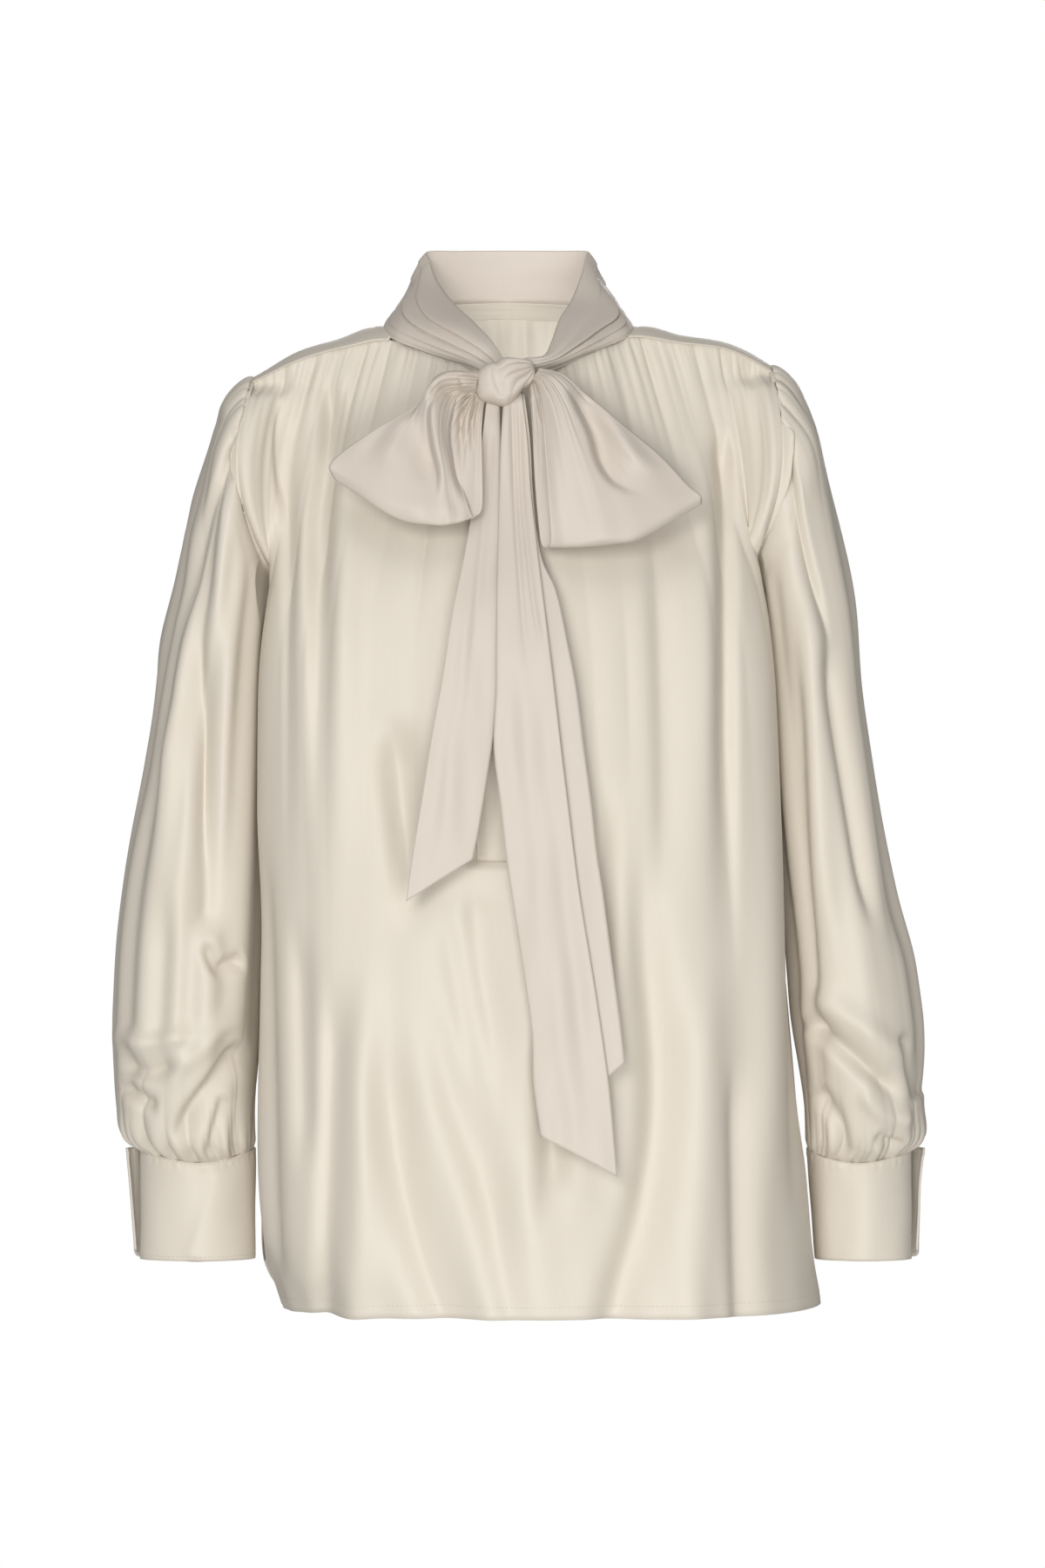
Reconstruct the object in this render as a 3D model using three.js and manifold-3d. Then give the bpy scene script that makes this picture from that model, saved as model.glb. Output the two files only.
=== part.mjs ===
// A long-sleeved satin blouse, worn with no wearer in it: gathered front and back panels on a
// shoulder yoke, a high folded collar that runs on into a tie, the tie's bow and tails, and full
// sleeves gathered into deep open cuffs. Millimetres. +Z is up, the front faces -Y, and the
// wearer's left is +X. The origin is midway between the shoulders, where the wearer holds it up.
import * as THREE from "three";
import { mergeVertices } from "three/addons/utils/BufferGeometryUtils.js";
import Module from "manifold-3d";

// Driving dimensions
const shoulderHalf = 188; // half the width from shoulder point to shoulder point
const shoulderShift = 3; // and its middle lies this far to the wearer's left
const shoulderDrop = 21; // shoulder point below the origin
const armholeLow = -172; // height of the underarm
const clothWall = 1.2; // wall of the panels, sleeves, collar and tie
const cuffWall = 1.8; // wall of the interlined cuffs
const seamGap = 0.3; // clearance between sewn pieces
const sectionPower = 2.5; // how square the body's section is
const sideSeam = 5; // the side seams' depth
const pressReach = 44; // how far to the front and back of the arm a sleeve presses the body
const chestFall = 250; // from a panel's top seam to where it hangs from the chest and back
const frontGathers = 40;
const backGathers = 24;
const sleeveGathers = 16;

// Small helpers
const clamp01 = (t) => Math.min(1, Math.max(0, t));
const lerp = (a, b, t) => a + (b - a) * t;
const ease = (t) => clamp01(t) ** 2 * (3 - 2 * clamp01(t));
const bell = (distance, width) => Math.exp(-((distance / width) ** 2));
const vec = (x, y, z) => new THREE.Vector3(x, y, z);

// Reads one column of a table at a key, on a smooth curve through its rows.
function along(table, key, at, column) {
  const last = table.length - 2;
  const rising = table[1][key] > table[0][key];
  let i = 0;
  while (i < last && (rising ? at > table[i + 1][key] : at < table[i + 1][key])) i += 1;
  const [a, b] = [table[i], table[i + 1]];
  const step = b[key] - a[key];
  const t = clamp01((at - a[key]) / step);
  const slope = (k) => {
    const low = table[Math.max(0, k - 1)];
    const high = table[Math.min(table.length - 1, k + 1)];
    return ((high[column] - low[column]) / (high[key] - low[key])) * step;
  };
  const [t2, t3] = [t * t, t * t * t];
  return (2 * t3 - 3 * t2 + 1) * a[column] + (t3 - 2 * t2 + t) * slope(i)
    + (3 * t2 - 2 * t3) * b[column] + (t3 - t2) * slope(i + 1);
}
const pointAlong = (table, key, at, columns = ["x", "y", "z"]) =>
  vec(...columns.map((column) => along(table, key, at, column)));

// The body's section at each height: its reach to the wearer's right and left, front and back,
// and how far in each sleeve presses its side.
const bodySections = [
  { z: 40, right: -184, left: 186, front: -76, back: 60, pressRight: 6, pressLeft: 8 },
  { z: -20, right: -188, left: 190, front: -88, back: 84, pressRight: 15, pressLeft: 17 },
  { z: -80, right: -188, left: 192.5, front: -108, back: 105, pressRight: 23, pressLeft: 28 },
  { z: -140, right: -186, left: 193.5, front: -122, back: 114, pressRight: 25, pressLeft: 34 },
  { z: -172, right: -190, left: 198, front: -127, back: 115, pressRight: 32, pressLeft: 38 },
  { z: -230, right: -194, left: 202, front: -131, back: 117, pressRight: 34, pressLeft: 40 },
  { z: -345, right: -195, left: 208, front: -136, back: 119, pressRight: 33, pressLeft: 33 },
  { z: -470, right: -195, left: 217, front: -139, back: 122, pressRight: 28, pressLeft: 20 },
  { z: -580, right: -193, left: 221, front: -141, back: 125, pressRight: 17, pressLeft: 9 },
  { z: -635, right: -188, left: 222.6, front: -142, back: 126, pressRight: 11, pressLeft: 6 },
  { z: -660, right: -180, left: 224.2, front: -142, back: 127, pressRight: 4, pressLeft: 4 },
  { z: -680, right: -168, left: 225.6, front: -142, back: 128, pressRight: 0, pressLeft: 1 },
  { z: -700, right: -161, left: 227, front: -142, back: 128, pressRight: 0, pressLeft: 0 },
];

// The front panel's top edge, from the right shoulder round the front of the neck to the left.
const frontSeam = [
  { u: 0, x: -183.5, y: -24, z: -26.7 },
  { u: 0.09, x: -149, y: -32, z: -11 },
  { u: 0.18, x: -114, y: -36, z: -1.5 },
  { u: 0.255, x: -85, y: -38, z: 3 },
  { u: 0.34, x: -54, y: -60, z: -9.5 },
  { u: 0.43, x: -24, y: -74, z: -20 },
  { u: 0.5, x: 0, y: -77, z: -23 },
  { u: 0.57, x: 24, y: -74, z: -20 },
  { u: 0.66, x: 56, y: -60, z: -8.5 },
  { u: 0.745, x: 87, y: -38, z: 5 },
  { u: 0.82, x: 117, y: -36, z: 2 },
  { u: 0.91, x: 154, y: -32, z: -7 },
  { u: 1, x: 189.5, y: -24, z: -26.7 },
];

// Half of the yoke, from the centre back to the shoulder point: its neck edge (n), which runs on
// along the front panel's seam, its back edge (b), and how far it rises between them.
const yokeHalf = [
  { b: 0, nx: 0, ny: 60, nz: 38, bx: 0, by: 68, bz: 27, rise: 0.3 },
  { b: 0.18, nx: 44, ny: 52, nz: 35, bx: 48, by: 66, bz: 24, rise: 0.6 },
  { b: 0.34, nx: 74, ny: 30, nz: 28, bx: 84, by: 62, bz: 15, rise: 1.5 },
  { b: 0.46, nx: 86, ny: 0, nz: 17, bx: 98, by: 58, bz: 8, rise: 4 },
  { b: 0.58, nx: 86, ny: -38, nz: 4, bx: 110, by: 52, bz: 1, rise: 12 },
  { b: 0.72, nx: 115, ny: -36, nz: 0, bx: 132, by: 46, bz: -7, rise: 10 },
  { b: 0.87, nx: 151, ny: -32, nz: -9, bx: 160, by: 36, bz: -15, rise: 8 },
  { b: 1, nx: 186.5, ny: -24, nz: -26.7, bx: 186.5, by: 26, bz: -26.9, rise: 5.5 },
];

// The hem's height round the front and the back, from side seam to side seam.
const frontHem = [
  { u: 0, z: -691 }, { u: 0.06, z: -692 }, { u: 0.16, z: -690 }, { u: 0.5, z: -689 },
  { u: 0.84, z: -689 }, { u: 0.94, z: -688 }, { u: 1, z: -685 },
];
const backHem = [
  { u: 0, z: -660 }, { u: 0.03, z: -677 }, { u: 0.07, z: -688 }, { u: 0.2, z: -694 },
  { u: 0.5, z: -697 }, { u: 0.8, z: -692 }, { u: 0.93, z: -680 }, { u: 0.97, z: -664 },
  { u: 1, z: -650 },
];

// The largest folds, as a front view places them: each runs from one end to the other with its
// half width and how far it stands out, or in where that is negative.
const frontFolds = [
  { xTop: -162, zTop: -30, xLow: -152, zLow: -470, width: 12, out: -7 },
  { xTop: -124, zTop: -30, xLow: -133, zLow: -400, width: 9, out: -8 },
  { xTop: -112, zTop: -60, xLow: -118, zLow: -430, width: 12, out: 5 },
  { xTop: 140, zTop: -50, xLow: 156, zLow: -600, width: 11, out: -8 },
  { xTop: 126, zTop: -70, xLow: 138, zLow: -560, width: 13, out: 5 },
  { xTop: 176, zTop: -90, xLow: 186, zLow: -640, width: 12, out: 5 },
  { xTop: -86, zTop: -250, xLow: -76, zLow: -450, width: 15, out: -9 },
  { xTop: -58, zTop: -420, xLow: 2, zLow: -690, width: 17, out: -9 },
  { xTop: 96, zTop: -330, xLow: 56, zLow: -690, width: 17, out: -10 },
  { xTop: 20, zTop: -470, xLow: 30, zLow: -700, width: 34, out: 8 },
  { xTop: -110, zTop: -500, xLow: -120, zLow: -700, width: 10, out: 5 },
  { xTop: -88, zTop: -430, xLow: -94, zLow: -690, width: 14, out: -5 },
  { xTop: 116, zTop: -430, xLow: 112, zLow: -690, width: 18, out: 6 },
];
const backFolds = [
  { xTop: -128, zTop: -40, xLow: -140, zLow: -690, width: 16, out: -5 },
  { xTop: -92, zTop: -60, xLow: -98, zLow: -660, width: 18, out: 4.5 },
  { xTop: -50, zTop: 10, xLow: -58, zLow: -690, width: 17, out: -5 },
  { xTop: -12, zTop: -10, xLow: -6, zLow: -690, width: 22, out: 5 },
  { xTop: 36, zTop: 10, xLow: 46, zLow: -690, width: 16, out: -5.5 },
  { xTop: 82, zTop: -40, xLow: 92, zLow: -690, width: 20, out: 4.5 },
  { xTop: 122, zTop: -30, xLow: 140, zLow: -690, width: 15, out: -5 },
];

// How far the folds in a table move the cloth out at one place.
function foldsAt(folds, x, z) {
  let out = 0;
  for (const fold of folds) {
    const t = (fold.zTop - z) / (fold.zTop - fold.zLow);
    const fade = ease((t + 0.04) / 0.3) * ease((1.12 - t) / 0.3);
    out += fold.out * fade * bell(x - lerp(fold.xTop, fold.xLow, t), fold.width);
  }
  return out;
}

// Gathers: small waves that stand up from a seam and run out down the cloth, every other one
// sooner. wave is the place along the seam, counted in gathers.
function gatherAt(wave, drop, height, reach) {
  const uneven = 0.75 + 0.25 * Math.sin(wave * 2.3) + 0.2 * Math.sin(wave * 0.9 + 1);
  const start = 0.45 + 0.55 * ease(drop / 10);
  const fine = Math.cos(Math.PI * 2 * wave) * Math.exp(-drop / reach);
  const broad = Math.cos(Math.PI * 0.64 * wave + 0.6) * ease(drop / 30) * Math.exp(-drop / (reach * 3));
  return height * uneven * start * (fine + 0.75 * broad);
}

// The angle round half a section at each equal step of its length.
const sectionAngles = (() => {
  const steps = 400;
  const [half, depth] = [198, 130];
  const place = (a) => [
    half * Math.sign(Math.cos(a)) * Math.abs(Math.cos(a)) ** (2 / sectionPower),
    depth * Math.sin(a) ** (2 / sectionPower),
  ];
  const lengths = [0];
  for (let i = 1; i <= steps; i += 1) {
    const [p, q] = [place((Math.PI * (i - 1)) / steps), place((Math.PI * i) / steps)];
    lengths.push(lengths[i - 1] + Math.hypot(p[0] - q[0], p[1] - q[1]));
  }
  return (u) => {
    const want = clamp01(u) * lengths[steps];
    const i = Math.max(1, lengths.findIndex((length) => length >= want));
    const t = (want - lengths[i - 1]) / (lengths[i] - lengths[i - 1]);
    return (Math.PI * (i - 1 + t)) / steps;
  };
})();

// A point of the body's section at height z, from the right side seam (u 0) to the left (u 1).
function sectionPoint(u, z, side) {
  const angle = sectionAngles(u);
  const [right, left] = ["right", "left"].map((c) => along(bodySections, "z", z, c));
  const across = Math.cos(angle);
  const reach = along(bodySections, "z", z, side);
  const y = sideSeam + (reach - sideSeam) * Math.sin(angle) ** (2 / sectionPower);
  const press = along(bodySections, "z", z, across > 0 ? "pressRight" : "pressLeft")
    * bell(y, pressReach);
  const x = (left + right) / 2 - ((left - right) / 2 - press)
    * Math.sign(across) * Math.abs(across) ** (2 / sectionPower);
  return vec(x, y, z);
}

// The armhole's seam: t runs from the shoulder point down to the underarm.
const armholeTilt = 22; // the underarm lies this far in from the shoulder point
const armholeSwell = 14; // and the seam's middle this far out from the line between them
function armhole(t, side, hand) {
  const x = shoulderHalf - 2 - armholeTilt * t + armholeSwell * Math.sin(Math.PI * t)
    + hand * shoulderShift * (1 - t);
  const reach = side === "front" ? -64 : 66;
  const y = 5 * t + reach * 2 * Math.sqrt(t * (1 - t));
  return vec(hand * x, y, lerp(-shoulderDrop, armholeLow, t));
}

// One body panel, from its top seam down to its hem.
function bodyPanel(side, topSeam, hem, folds, gathers, columns, drops) {
  const sign = side === "front" ? 1 : -1;
  const rows = drops.map(() => []);
  for (let j = 0; j <= columns; j += 1) {
    const u = j / columns;
    const top = topSeam(u);
    const low = along(hem, "u", u, "z");
    drops.forEach((drop, i) => {
      const z = lerp(top.z, low, drop);
      const fall = top.z - z;
      const loose = Math.sin((Math.PI / 2) * clamp01(fall / chestFall)) ** 0.9;
      const section = sectionPoint(u, z, side);
      const p = vec(lerp(top.x, section.x, loose), lerp(top.y, section.y, loose), z);
      // The edges follow the armholes down to the underarms.
      for (const [edge, hand] of [[u, -1], [1 - u, 1]]) {
        const t = clamp01((-shoulderDrop - z) / (-shoulderDrop - armholeLow));
        if (t >= 1) continue;
        const seam = armhole(t, side, hand);
        const end = hand < 0 ? 0 : 1;
        const [edgeTop, edgeSection] = [topSeam(end), sectionPoint(end, z, side)];
        const own = bell(edge, 0.075) * ease((t - 0.03) / 0.04);
        p.x += own * (seam.x - lerp(edgeTop.x, edgeSection.x, loose));
        p.y += own * (seam.y - lerp(edgeTop.y, edgeSection.y, loose));
      }
      const calm = ease(u / 0.03) * ease((1 - u) / 0.03);
      const outward = vec(0, -sign, 0);
      const spread = foldsAt(folds, p.x, z) + gatherAt(gathers * u, fall, 1.5, 26) * sign;
      const turn = clamp01(Math.abs(p.x) / 190) ** 3;
      outward.set(Math.sign(p.x) * turn * 0.8, -sign * (1 - turn * 0.5), 0).normalize();
      p.addScaledVector(outward, spread * (0.15 + 0.85 * calm));
      p.y -= sign * 1.8 * seamGap;
      rows[i].push(p);
    });
  }
  return rows;
}

// Builds a closed wall of even thickness round a grid of points. skip(i, j) leaves a cell out.
function wall(rows, thickness, { ring = false, skip = () => false } = {}) {
  const [down, across] = [rows.length, rows[0].length];
  const column = (j) => (ring ? (j + across) % across : Math.min(across - 1, Math.max(0, j)));
  const at = (i, j) => rows[Math.min(down - 1, Math.max(0, i))][column(j)];
  const positions = [];
  for (const side of [0.5, -0.5]) {
    for (let i = 0; i < down; i += 1) {
      for (let j = 0; j < across; j += 1) {
        const dv = at(i + 1, j).clone().sub(at(i - 1, j));
        const du = at(i, j + 1).clone().sub(at(i, j - 1));
        const p = at(i, j).clone().addScaledVector(dv.cross(du).normalize(), thickness * side);
        positions.push(p.x, p.y, p.z);
      }
    }
  }
  const index = [];
  const inner = down * across;
  const edges = new Map();
  const quad = (a, b, c, d) => index.push(a, b, c, a, c, d);
  for (let i = 0; i < down - 1; i += 1) {
    for (let j = 0; j < (ring ? across : across - 1); j += 1) {
      if (skip(i, j)) continue;
      const corners = [[i, j], [i + 1, j], [i + 1, j + 1], [i, j + 1]]
        .map(([r, c]) => r * across + column(c));
      quad(...corners);
      quad(...corners.map((corner) => corner + inner).reverse());
      corners.forEach((from, k) => {
        const to = corners[(k + 1) % 4];
        if (!edges.delete(`${to}_${from}`)) edges.set(`${from}_${to}`, [from, to]);
      });
    }
  }
  for (const [from, to] of edges.values()) quad(to, from, from + inner, to + inner);
  const geometry = new THREE.BufferGeometry();
  geometry.setAttribute("position", new THREE.Float32BufferAttribute(positions, 3));
  geometry.setIndex(index);
  return facingOut(geometry);
}

// Turns a closed mesh's faces round if they point in.
function facingOut(geometry) {
  const [p, index] = [geometry.getAttribute("position"), geometry.getIndex().array];
  const [a, b, c] = [vec(), vec(), vec()];
  let volume = 0;
  for (let i = 0; i < index.length; i += 3) {
    [a, b, c].forEach((v, k) => v.fromBufferAttribute(p, index[i + k]));
    volume += a.dot(b.clone().cross(c));
  }
  if (volume < 0) {
    for (let i = 0; i < index.length; i += 3) [index[i], index[i + 1]] = [index[i + 1], index[i]];
  }
  return geometry;
}

// Booleans, for the pieces that end in the knot
const wasm = await Module();
wasm.setup();
function solidOf(geometry) {
  const merged = mergeVertices(geometry, 1e-4);
  return new wasm.Manifold(new wasm.Mesh({
    numProp: 3,
    vertProperties: Float32Array.from(merged.getAttribute("position").array),
    triVerts: Uint32Array.from(merged.getIndex().array),
  }));
}
function cutBy(geometry, cutter) {
  const pieces = solidOf(geometry).subtract(cutter).decompose();
  const whole = pieces.sort((p, q) => q.volume() - p.volume())[0];
  const mesh = whole.getMesh();
  const result = new THREE.BufferGeometry();
  result.setAttribute("position", new THREE.Float32BufferAttribute(mesh.vertProperties, 3));
  result.setIndex(Array.from(mesh.triVerts));
  return result;
}

// Front and back panels
const frontDrops = [
  0, 0.012, 0.035, 0.07, 0.12, 0.165, 0.199, 0.2165, 0.2255, 0.33, 0.47, 0.64, 0.82, 0.95, 1,
];
const backDrops = [0, 0.012, 0.07, 0.12, 0.17, 0.2018, 0.2175, 0.2264, 0.33, 0.64, 0.82, 0.95, 1];
const frontTop = (u) => pointAlong(frontSeam, "u", u);
const yokeEdge = (u, columns) => {
  const hand = u < 0.5 ? -1 : 1;
  const b = Math.abs(u - 0.5) * 2;
  const p = pointAlong(yokeHalf, "b", b, columns);
  return p.setX(p.x * hand + shoulderShift * ease((b - 0.4) / 0.6));
};
const backTop = (u) => yokeEdge(u, ["bx", "by", "bz"]).add(vec(0, 1.6 * seamGap, -3.4 * seamGap));
const frontRows = bodyPanel("front", frontTop, frontHem, frontFolds, frontGathers,
  2 * frontGathers, frontDrops);
const backRows = bodyPanel("back", backTop, backHem, backFolds, backGathers, 2 * backGathers,
  backDrops).map((row) => row.reverse());

// Yoke: a smooth strip over both shoulders and behind the neck
const yokeSteps = 30;
const neckEnds = 0.58; // where along the yoke's half its neck edge meets the front seam
const neckSeam = 0.245; // and how far that is from the front seam's middle
const yokeRows = [0, 0.33, 0.67, 1].map((a) => {
  const row = [];
  for (let j = 0; j <= yokeSteps; j += 1) {
    const u = lerp(0.001, 0.999, j / yokeSteps);
    const b = Math.abs(u - 0.5) * 2;
    const neck = b < neckEnds ? yokeEdge(u, ["nx", "ny", "nz"])
      : frontTop(0.5 + Math.sign(u - 0.5) * lerp(neckSeam, 0.5, (b - neckEnds) / (1 - neckEnds)));
    neck.add(vec(0, 4 * seamGap, 3 * seamGap));
    const p = neck.lerp(yokeEdge(u, ["bx", "by", "bz"]), a);
    p.z += 4 * a * (1 - a) * along(yokeHalf, "b", b, "rise");
    row.push(p);
  }
  return row;
});

// Collar: a folded strip. Each row is a place round the neck from the knot to the centre back:
// its folded top edge (t), and how far the outer layer swells. Its seam follows the neckline.
const collarHalf = [
  { b: 0, tx: 6, ty: -91, tz: -20, swell: 1.5 },
  { b: 0.12, tx: 20, ty: -74, tz: -7, swell: 3 },
  { b: 0.26, tx: 40, ty: -52, tz: 13, swell: 5 },
  { b: 0.42, tx: 55, ty: -26, tz: 32, swell: 6.5 },
  { b: 0.56, tx: 57, ty: 4, tz: 50, swell: 7 },
  { b: 0.72, tx: 54, ty: 36, tz: 68, swell: 6 },
  { b: 0.86, tx: 40, ty: 52, tz: 76, swell: 5 },
  { b: 1, tx: 0, ty: 57, tz: 78, swell: 5 },
];
const collarShift = -2.5; // the collar's top leans to the wearer's right
const frontShare = 0.44; // the share of the half collar that is sewn to the front panel
const collarEnd = vec(8, -92, -27); // its lower edge inside the knot
function neckline(b) {
  const front = clamp01(b / frontShare);
  const p = b < frontShare ? frontTop(0.5 + neckSeam * front).add(vec(0, 0, seamGap))
    : yokeEdge(0.5 + (neckEnds / 2) * clamp01((1 - b) / (1 - frontShare)), ["nx", "ny", "nz"])
      .add(vec(0, 4 * seamGap, 3 * seamGap));
  return p.add(vec(0, 0, 3 * seamGap)).lerp(collarEnd, 1 - ease(b / 0.13));
}
// The collar's profile: share of the height and how far out it lies, in swells.
const collarProfile = [
  { up: 0.02, out: 0 }, { up: 0.5, out: -0.15 }, { up: 0.94, out: 0 }, { up: 1.03, out: 0.4 },
  { up: 0.9, out: 0.9 }, { up: 0.68, out: 1.05 }, { up: 0.5, out: 0.85 }, { up: 0.3, out: 1.3 },
  { up: 0.12, out: 0.95 }, { up: 0.04, out: 0.62 },
];
const collarSteps = 32;
const collarRows = collarProfile.map((place) => {
  const row = [];
  for (let j = 0; j <= collarSteps; j += 1) {
    const u = j / collarSteps;
    const hand = u < 0.5 ? -1 : 1;
    const b = 1 - Math.abs(u - 0.5) * 2;
    const seam = neckline(b);
    const top = pointAlong(collarHalf, "b", b, ["tx", "ty", "tz"]);
    const out = vec(seam.x, seam.y * 1.1, 0).normalize().add(vec(0, 0, 0.25 * (1 - b)));
    const p = seam.clone().lerp(top, place.up);
    p.addScaledVector(out, place.out * along(collarHalf, "b", b, "swell"));
    row.push(p.setX(p.x * hand + collarShift * ease(b) * clamp01(place.up)));
  }
  return row;
});

// Knot: a rounded wrap of the tie, with shallow creases across it
const knotAt = vec(-3, -98.5, -33);
const knotHalf = vec(20, 15, 21);
function knotGeometry(grow) {
  const sphere = new THREE.SphereGeometry(1, 18, 11);
  sphere.deleteAttribute("normal");
  sphere.deleteAttribute("uv");
  const geometry = mergeVertices(sphere, 1e-5);
  const p = geometry.getAttribute("position");
  for (let i = 0; i < p.count; i += 1) {
    const v = vec().fromBufferAttribute(p, i);
    const crease = 1 + 0.035 * Math.cos(9 * (v.x * 0.9 - v.z * 0.45) + 1);
    v.set(v.x * (knotHalf.x + grow), v.y * (knotHalf.y + grow), v.z * (knotHalf.z + grow));
    v.multiplyScalar(crease).add(knotAt);
    p.setXYZ(i, v.x, v.y, v.z);
  }
  return geometry;
}
const knotCutter = solidOf(knotGeometry(seamGap + 0.1));

// Bow loops: the tie's band leaves the knot, fans out, turns under and comes back behind itself.
// Each row is a place along the band, with its inner edge (i), middle (m) and outer edge (o).
const leftLoop = [
  { s: 0, ix: 13, iy: -102, iz: -38, mx: 15, my: -108, mz: -30, ox: 14, oy: -102, oz: -22 },
  { s: 0.12, ix: 22, iy: -110, iz: -45, mx: 34, my: -119, mz: -38, ox: 48, oy: -108, oz: -32 },
  { s: 0.26, ix: 24, iy: -119, iz: -74, mx: 46, my: -131, mz: -68, ox: 80, oy: -117, oz: -57 },
  { s: 0.4, ix: 27, iy: -127, iz: -110, mx: 64, my: -140, mz: -106, ox: 114, oy: -127, oz: -90 },
  { s: 0.5, ix: 30, iy: -131, iz: -140, mx: 76, my: -143, mz: -137, ox: 132, oy: -130, oz: -110 },
  { s: 0.54, ix: 30, iy: -126, iz: -148, mx: 80, my: -136, mz: -145, ox: 136, oy: -126, oz: -117 },
  { s: 0.58, ix: 27, iy: -120, iz: -144, mx: 78, my: -129, mz: -141, ox: 133, oy: -121, oz: -114 },
  { s: 0.7, ix: 21, iy: -115, iz: -108, mx: 58, my: -124, mz: -104, ox: 112, oy: -116, oz: -88 },
  { s: 0.84, ix: 17, iy: -107, iz: -70, mx: 42, my: -113, mz: -64, ox: 76, oy: -108, oz: -54 },
  { s: 1, ix: 12, iy: -96, iz: -42, mx: 15, my: -96, mz: -36, ox: 15, oy: -95, oz: -29 },
];
const rightLoop = [
  { s: 0, ix: -16, iy: -103, iz: -41, mx: -17, my: -109, mz: -33, ox: -16, oy: -103, oz: -25 },
  { s: 0.1, ix: -34, iy: -112, iz: -43, mx: -35, my: -117, mz: -32, ox: -34, oy: -109, oz: -21 },
  { s: 0.2, ix: -45, iy: -124, iz: -54, mx: -54, my: -124, mz: -40, ox: -58, oy: -112, oz: -27 },
  { s: 0.3, ix: -40, iy: -131, iz: -74, mx: -60, my: -133, mz: -66, ox: -78, oy: -118, oz: -52 },
  { s: 0.42, ix: -30, iy: -134, iz: -102, mx: -61, my: -139, mz: -97, ox: -100, oy: -124, oz: -78 },
  { s: 0.5, ix: -21, iy: -133, iz: -126, mx: -62, my: -139, mz: -124, ox: -119, oy: -128, oz: -98 },
  { s: 0.54, ix: -18, iy: -128, iz: -134, mx: -63, my: -133, mz: -133, ox: -124, oy: -125, oz: -106 },
  { s: 0.58, ix: -14, iy: -125, iz: -131, mx: -62, my: -127, mz: -130, ox: -121, oy: -121, oz: -104 },
  { s: 0.7, ix: -11, iy: -119, iz: -106, mx: -50, my: -121, mz: -98, ox: -98, oy: -116, oz: -80 },
  { s: 0.84, ix: -12, iy: -112, iz: -74, mx: -36, my: -113, mz: -67, ox: -70, oy: -109, oz: -52 },
  { s: 1, ix: -12, iy: -102, iz: -46, mx: -16, my: -101, mz: -40, ox: -19, oy: -98, oz: -34 },
];
const loopFolds = 2.5; // fan folds across half the band
function loopRows(table, stations, across) {
  const rows = [];
  for (let i = 0; i <= stations; i += 1) {
    const s = i / stations;
    const [inner, middle, outer] = ["i", "m", "o"]
      .map((c) => pointAlong(table, "s", s, [`${c}x`, `${c}y`, `${c}z`]));
    const near = Math.min(s, 1 - s) * 2;
    const height = 2.6 * bell(near - 0.3, 0.35) + 0.5;
    const row = [];
    for (let j = 0; j <= across; j += 1) {
      const t = (2 * j) / across - 1;
      const p = vec()
        .addScaledVector(inner, (t * (t - 1)) / 2)
        .addScaledVector(middle, 1 - t * t)
        .addScaledVector(outer, (t * (t + 1)) / 2);
      p.y -= height * Math.cos(Math.PI * loopFolds * t + 0.5) * (1 - near ** 4) * (s < 0.5 ? 1 : 0.6);
      row.push(p);
    }
    rows.push(row);
  }
  return rows;
}

// Tails: each is folded along its length, so it has a front and a back layer. Each row gives the
// folded edge, the free edge of the front layer and the free edge of the back layer.
const rightTail = [
  { z: -44, fold: -9, front: -14, back: -13, lean: -95 },
  { z: -72, fold: -8.2, front: -18, back: -17, lean: -96 },
  { z: -109, fold: -7.6, front: -23, back: -21, lean: -107.5 },
  { z: -137, fold: -7.4, front: -27, back: -25, lean: -119.5 },
  { z: -160, fold: -7.3, front: -31, back: -28, lean: -129 },
  { z: -194, fold: -7.4, front: -38, back: -33, lean: -142 },
  { z: -266, fold: -8.5, front: -50, back: -44, lean: -149 },
  { z: -320, fold: -14, front: -58, back: -52, lean: -151 },
  { z: -366, fold: -22, front: -66, back: -60, lean: -152 },
  { z: -400, fold: -28, front: -71, back: -66, lean: -152 },
];
const leftTail = [
  { z: -44, fold: -2, front: 9, back: 11, lean: -100 },
  { z: -72, fold: -4.2, front: 13, back: 15, lean: -106 },
  { z: -109, fold: -4.6, front: 16, back: 17, lean: -112 },
  { z: -140, fold: -4.8, front: 20, back: 20, lean: -124 },
  { z: -160, fold: -4.8, front: 22, back: 25, lean: -134 },
  { z: -180, fold: -4.7, front: 24.5, back: 34, lean: -142 },
  { z: -221, fold: -4.4, front: 29, back: 39, lean: -151 },
  { z: -285, fold: -1, front: 40, back: 56, lean: -154 },
  { z: -345, fold: 4.6, front: 50, back: 65, lean: -155 },
  { z: -436, fold: 13, front: 62, back: 75, lean: -156 },
  { z: -509, fold: 19.5, front: 70, back: 83, lean: -157 },
  { z: -590, fold: 28, front: 76, back: 91, lean: -157 },
];
const layerGap = 3.6; // between the middles of a tail's two layers
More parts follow.
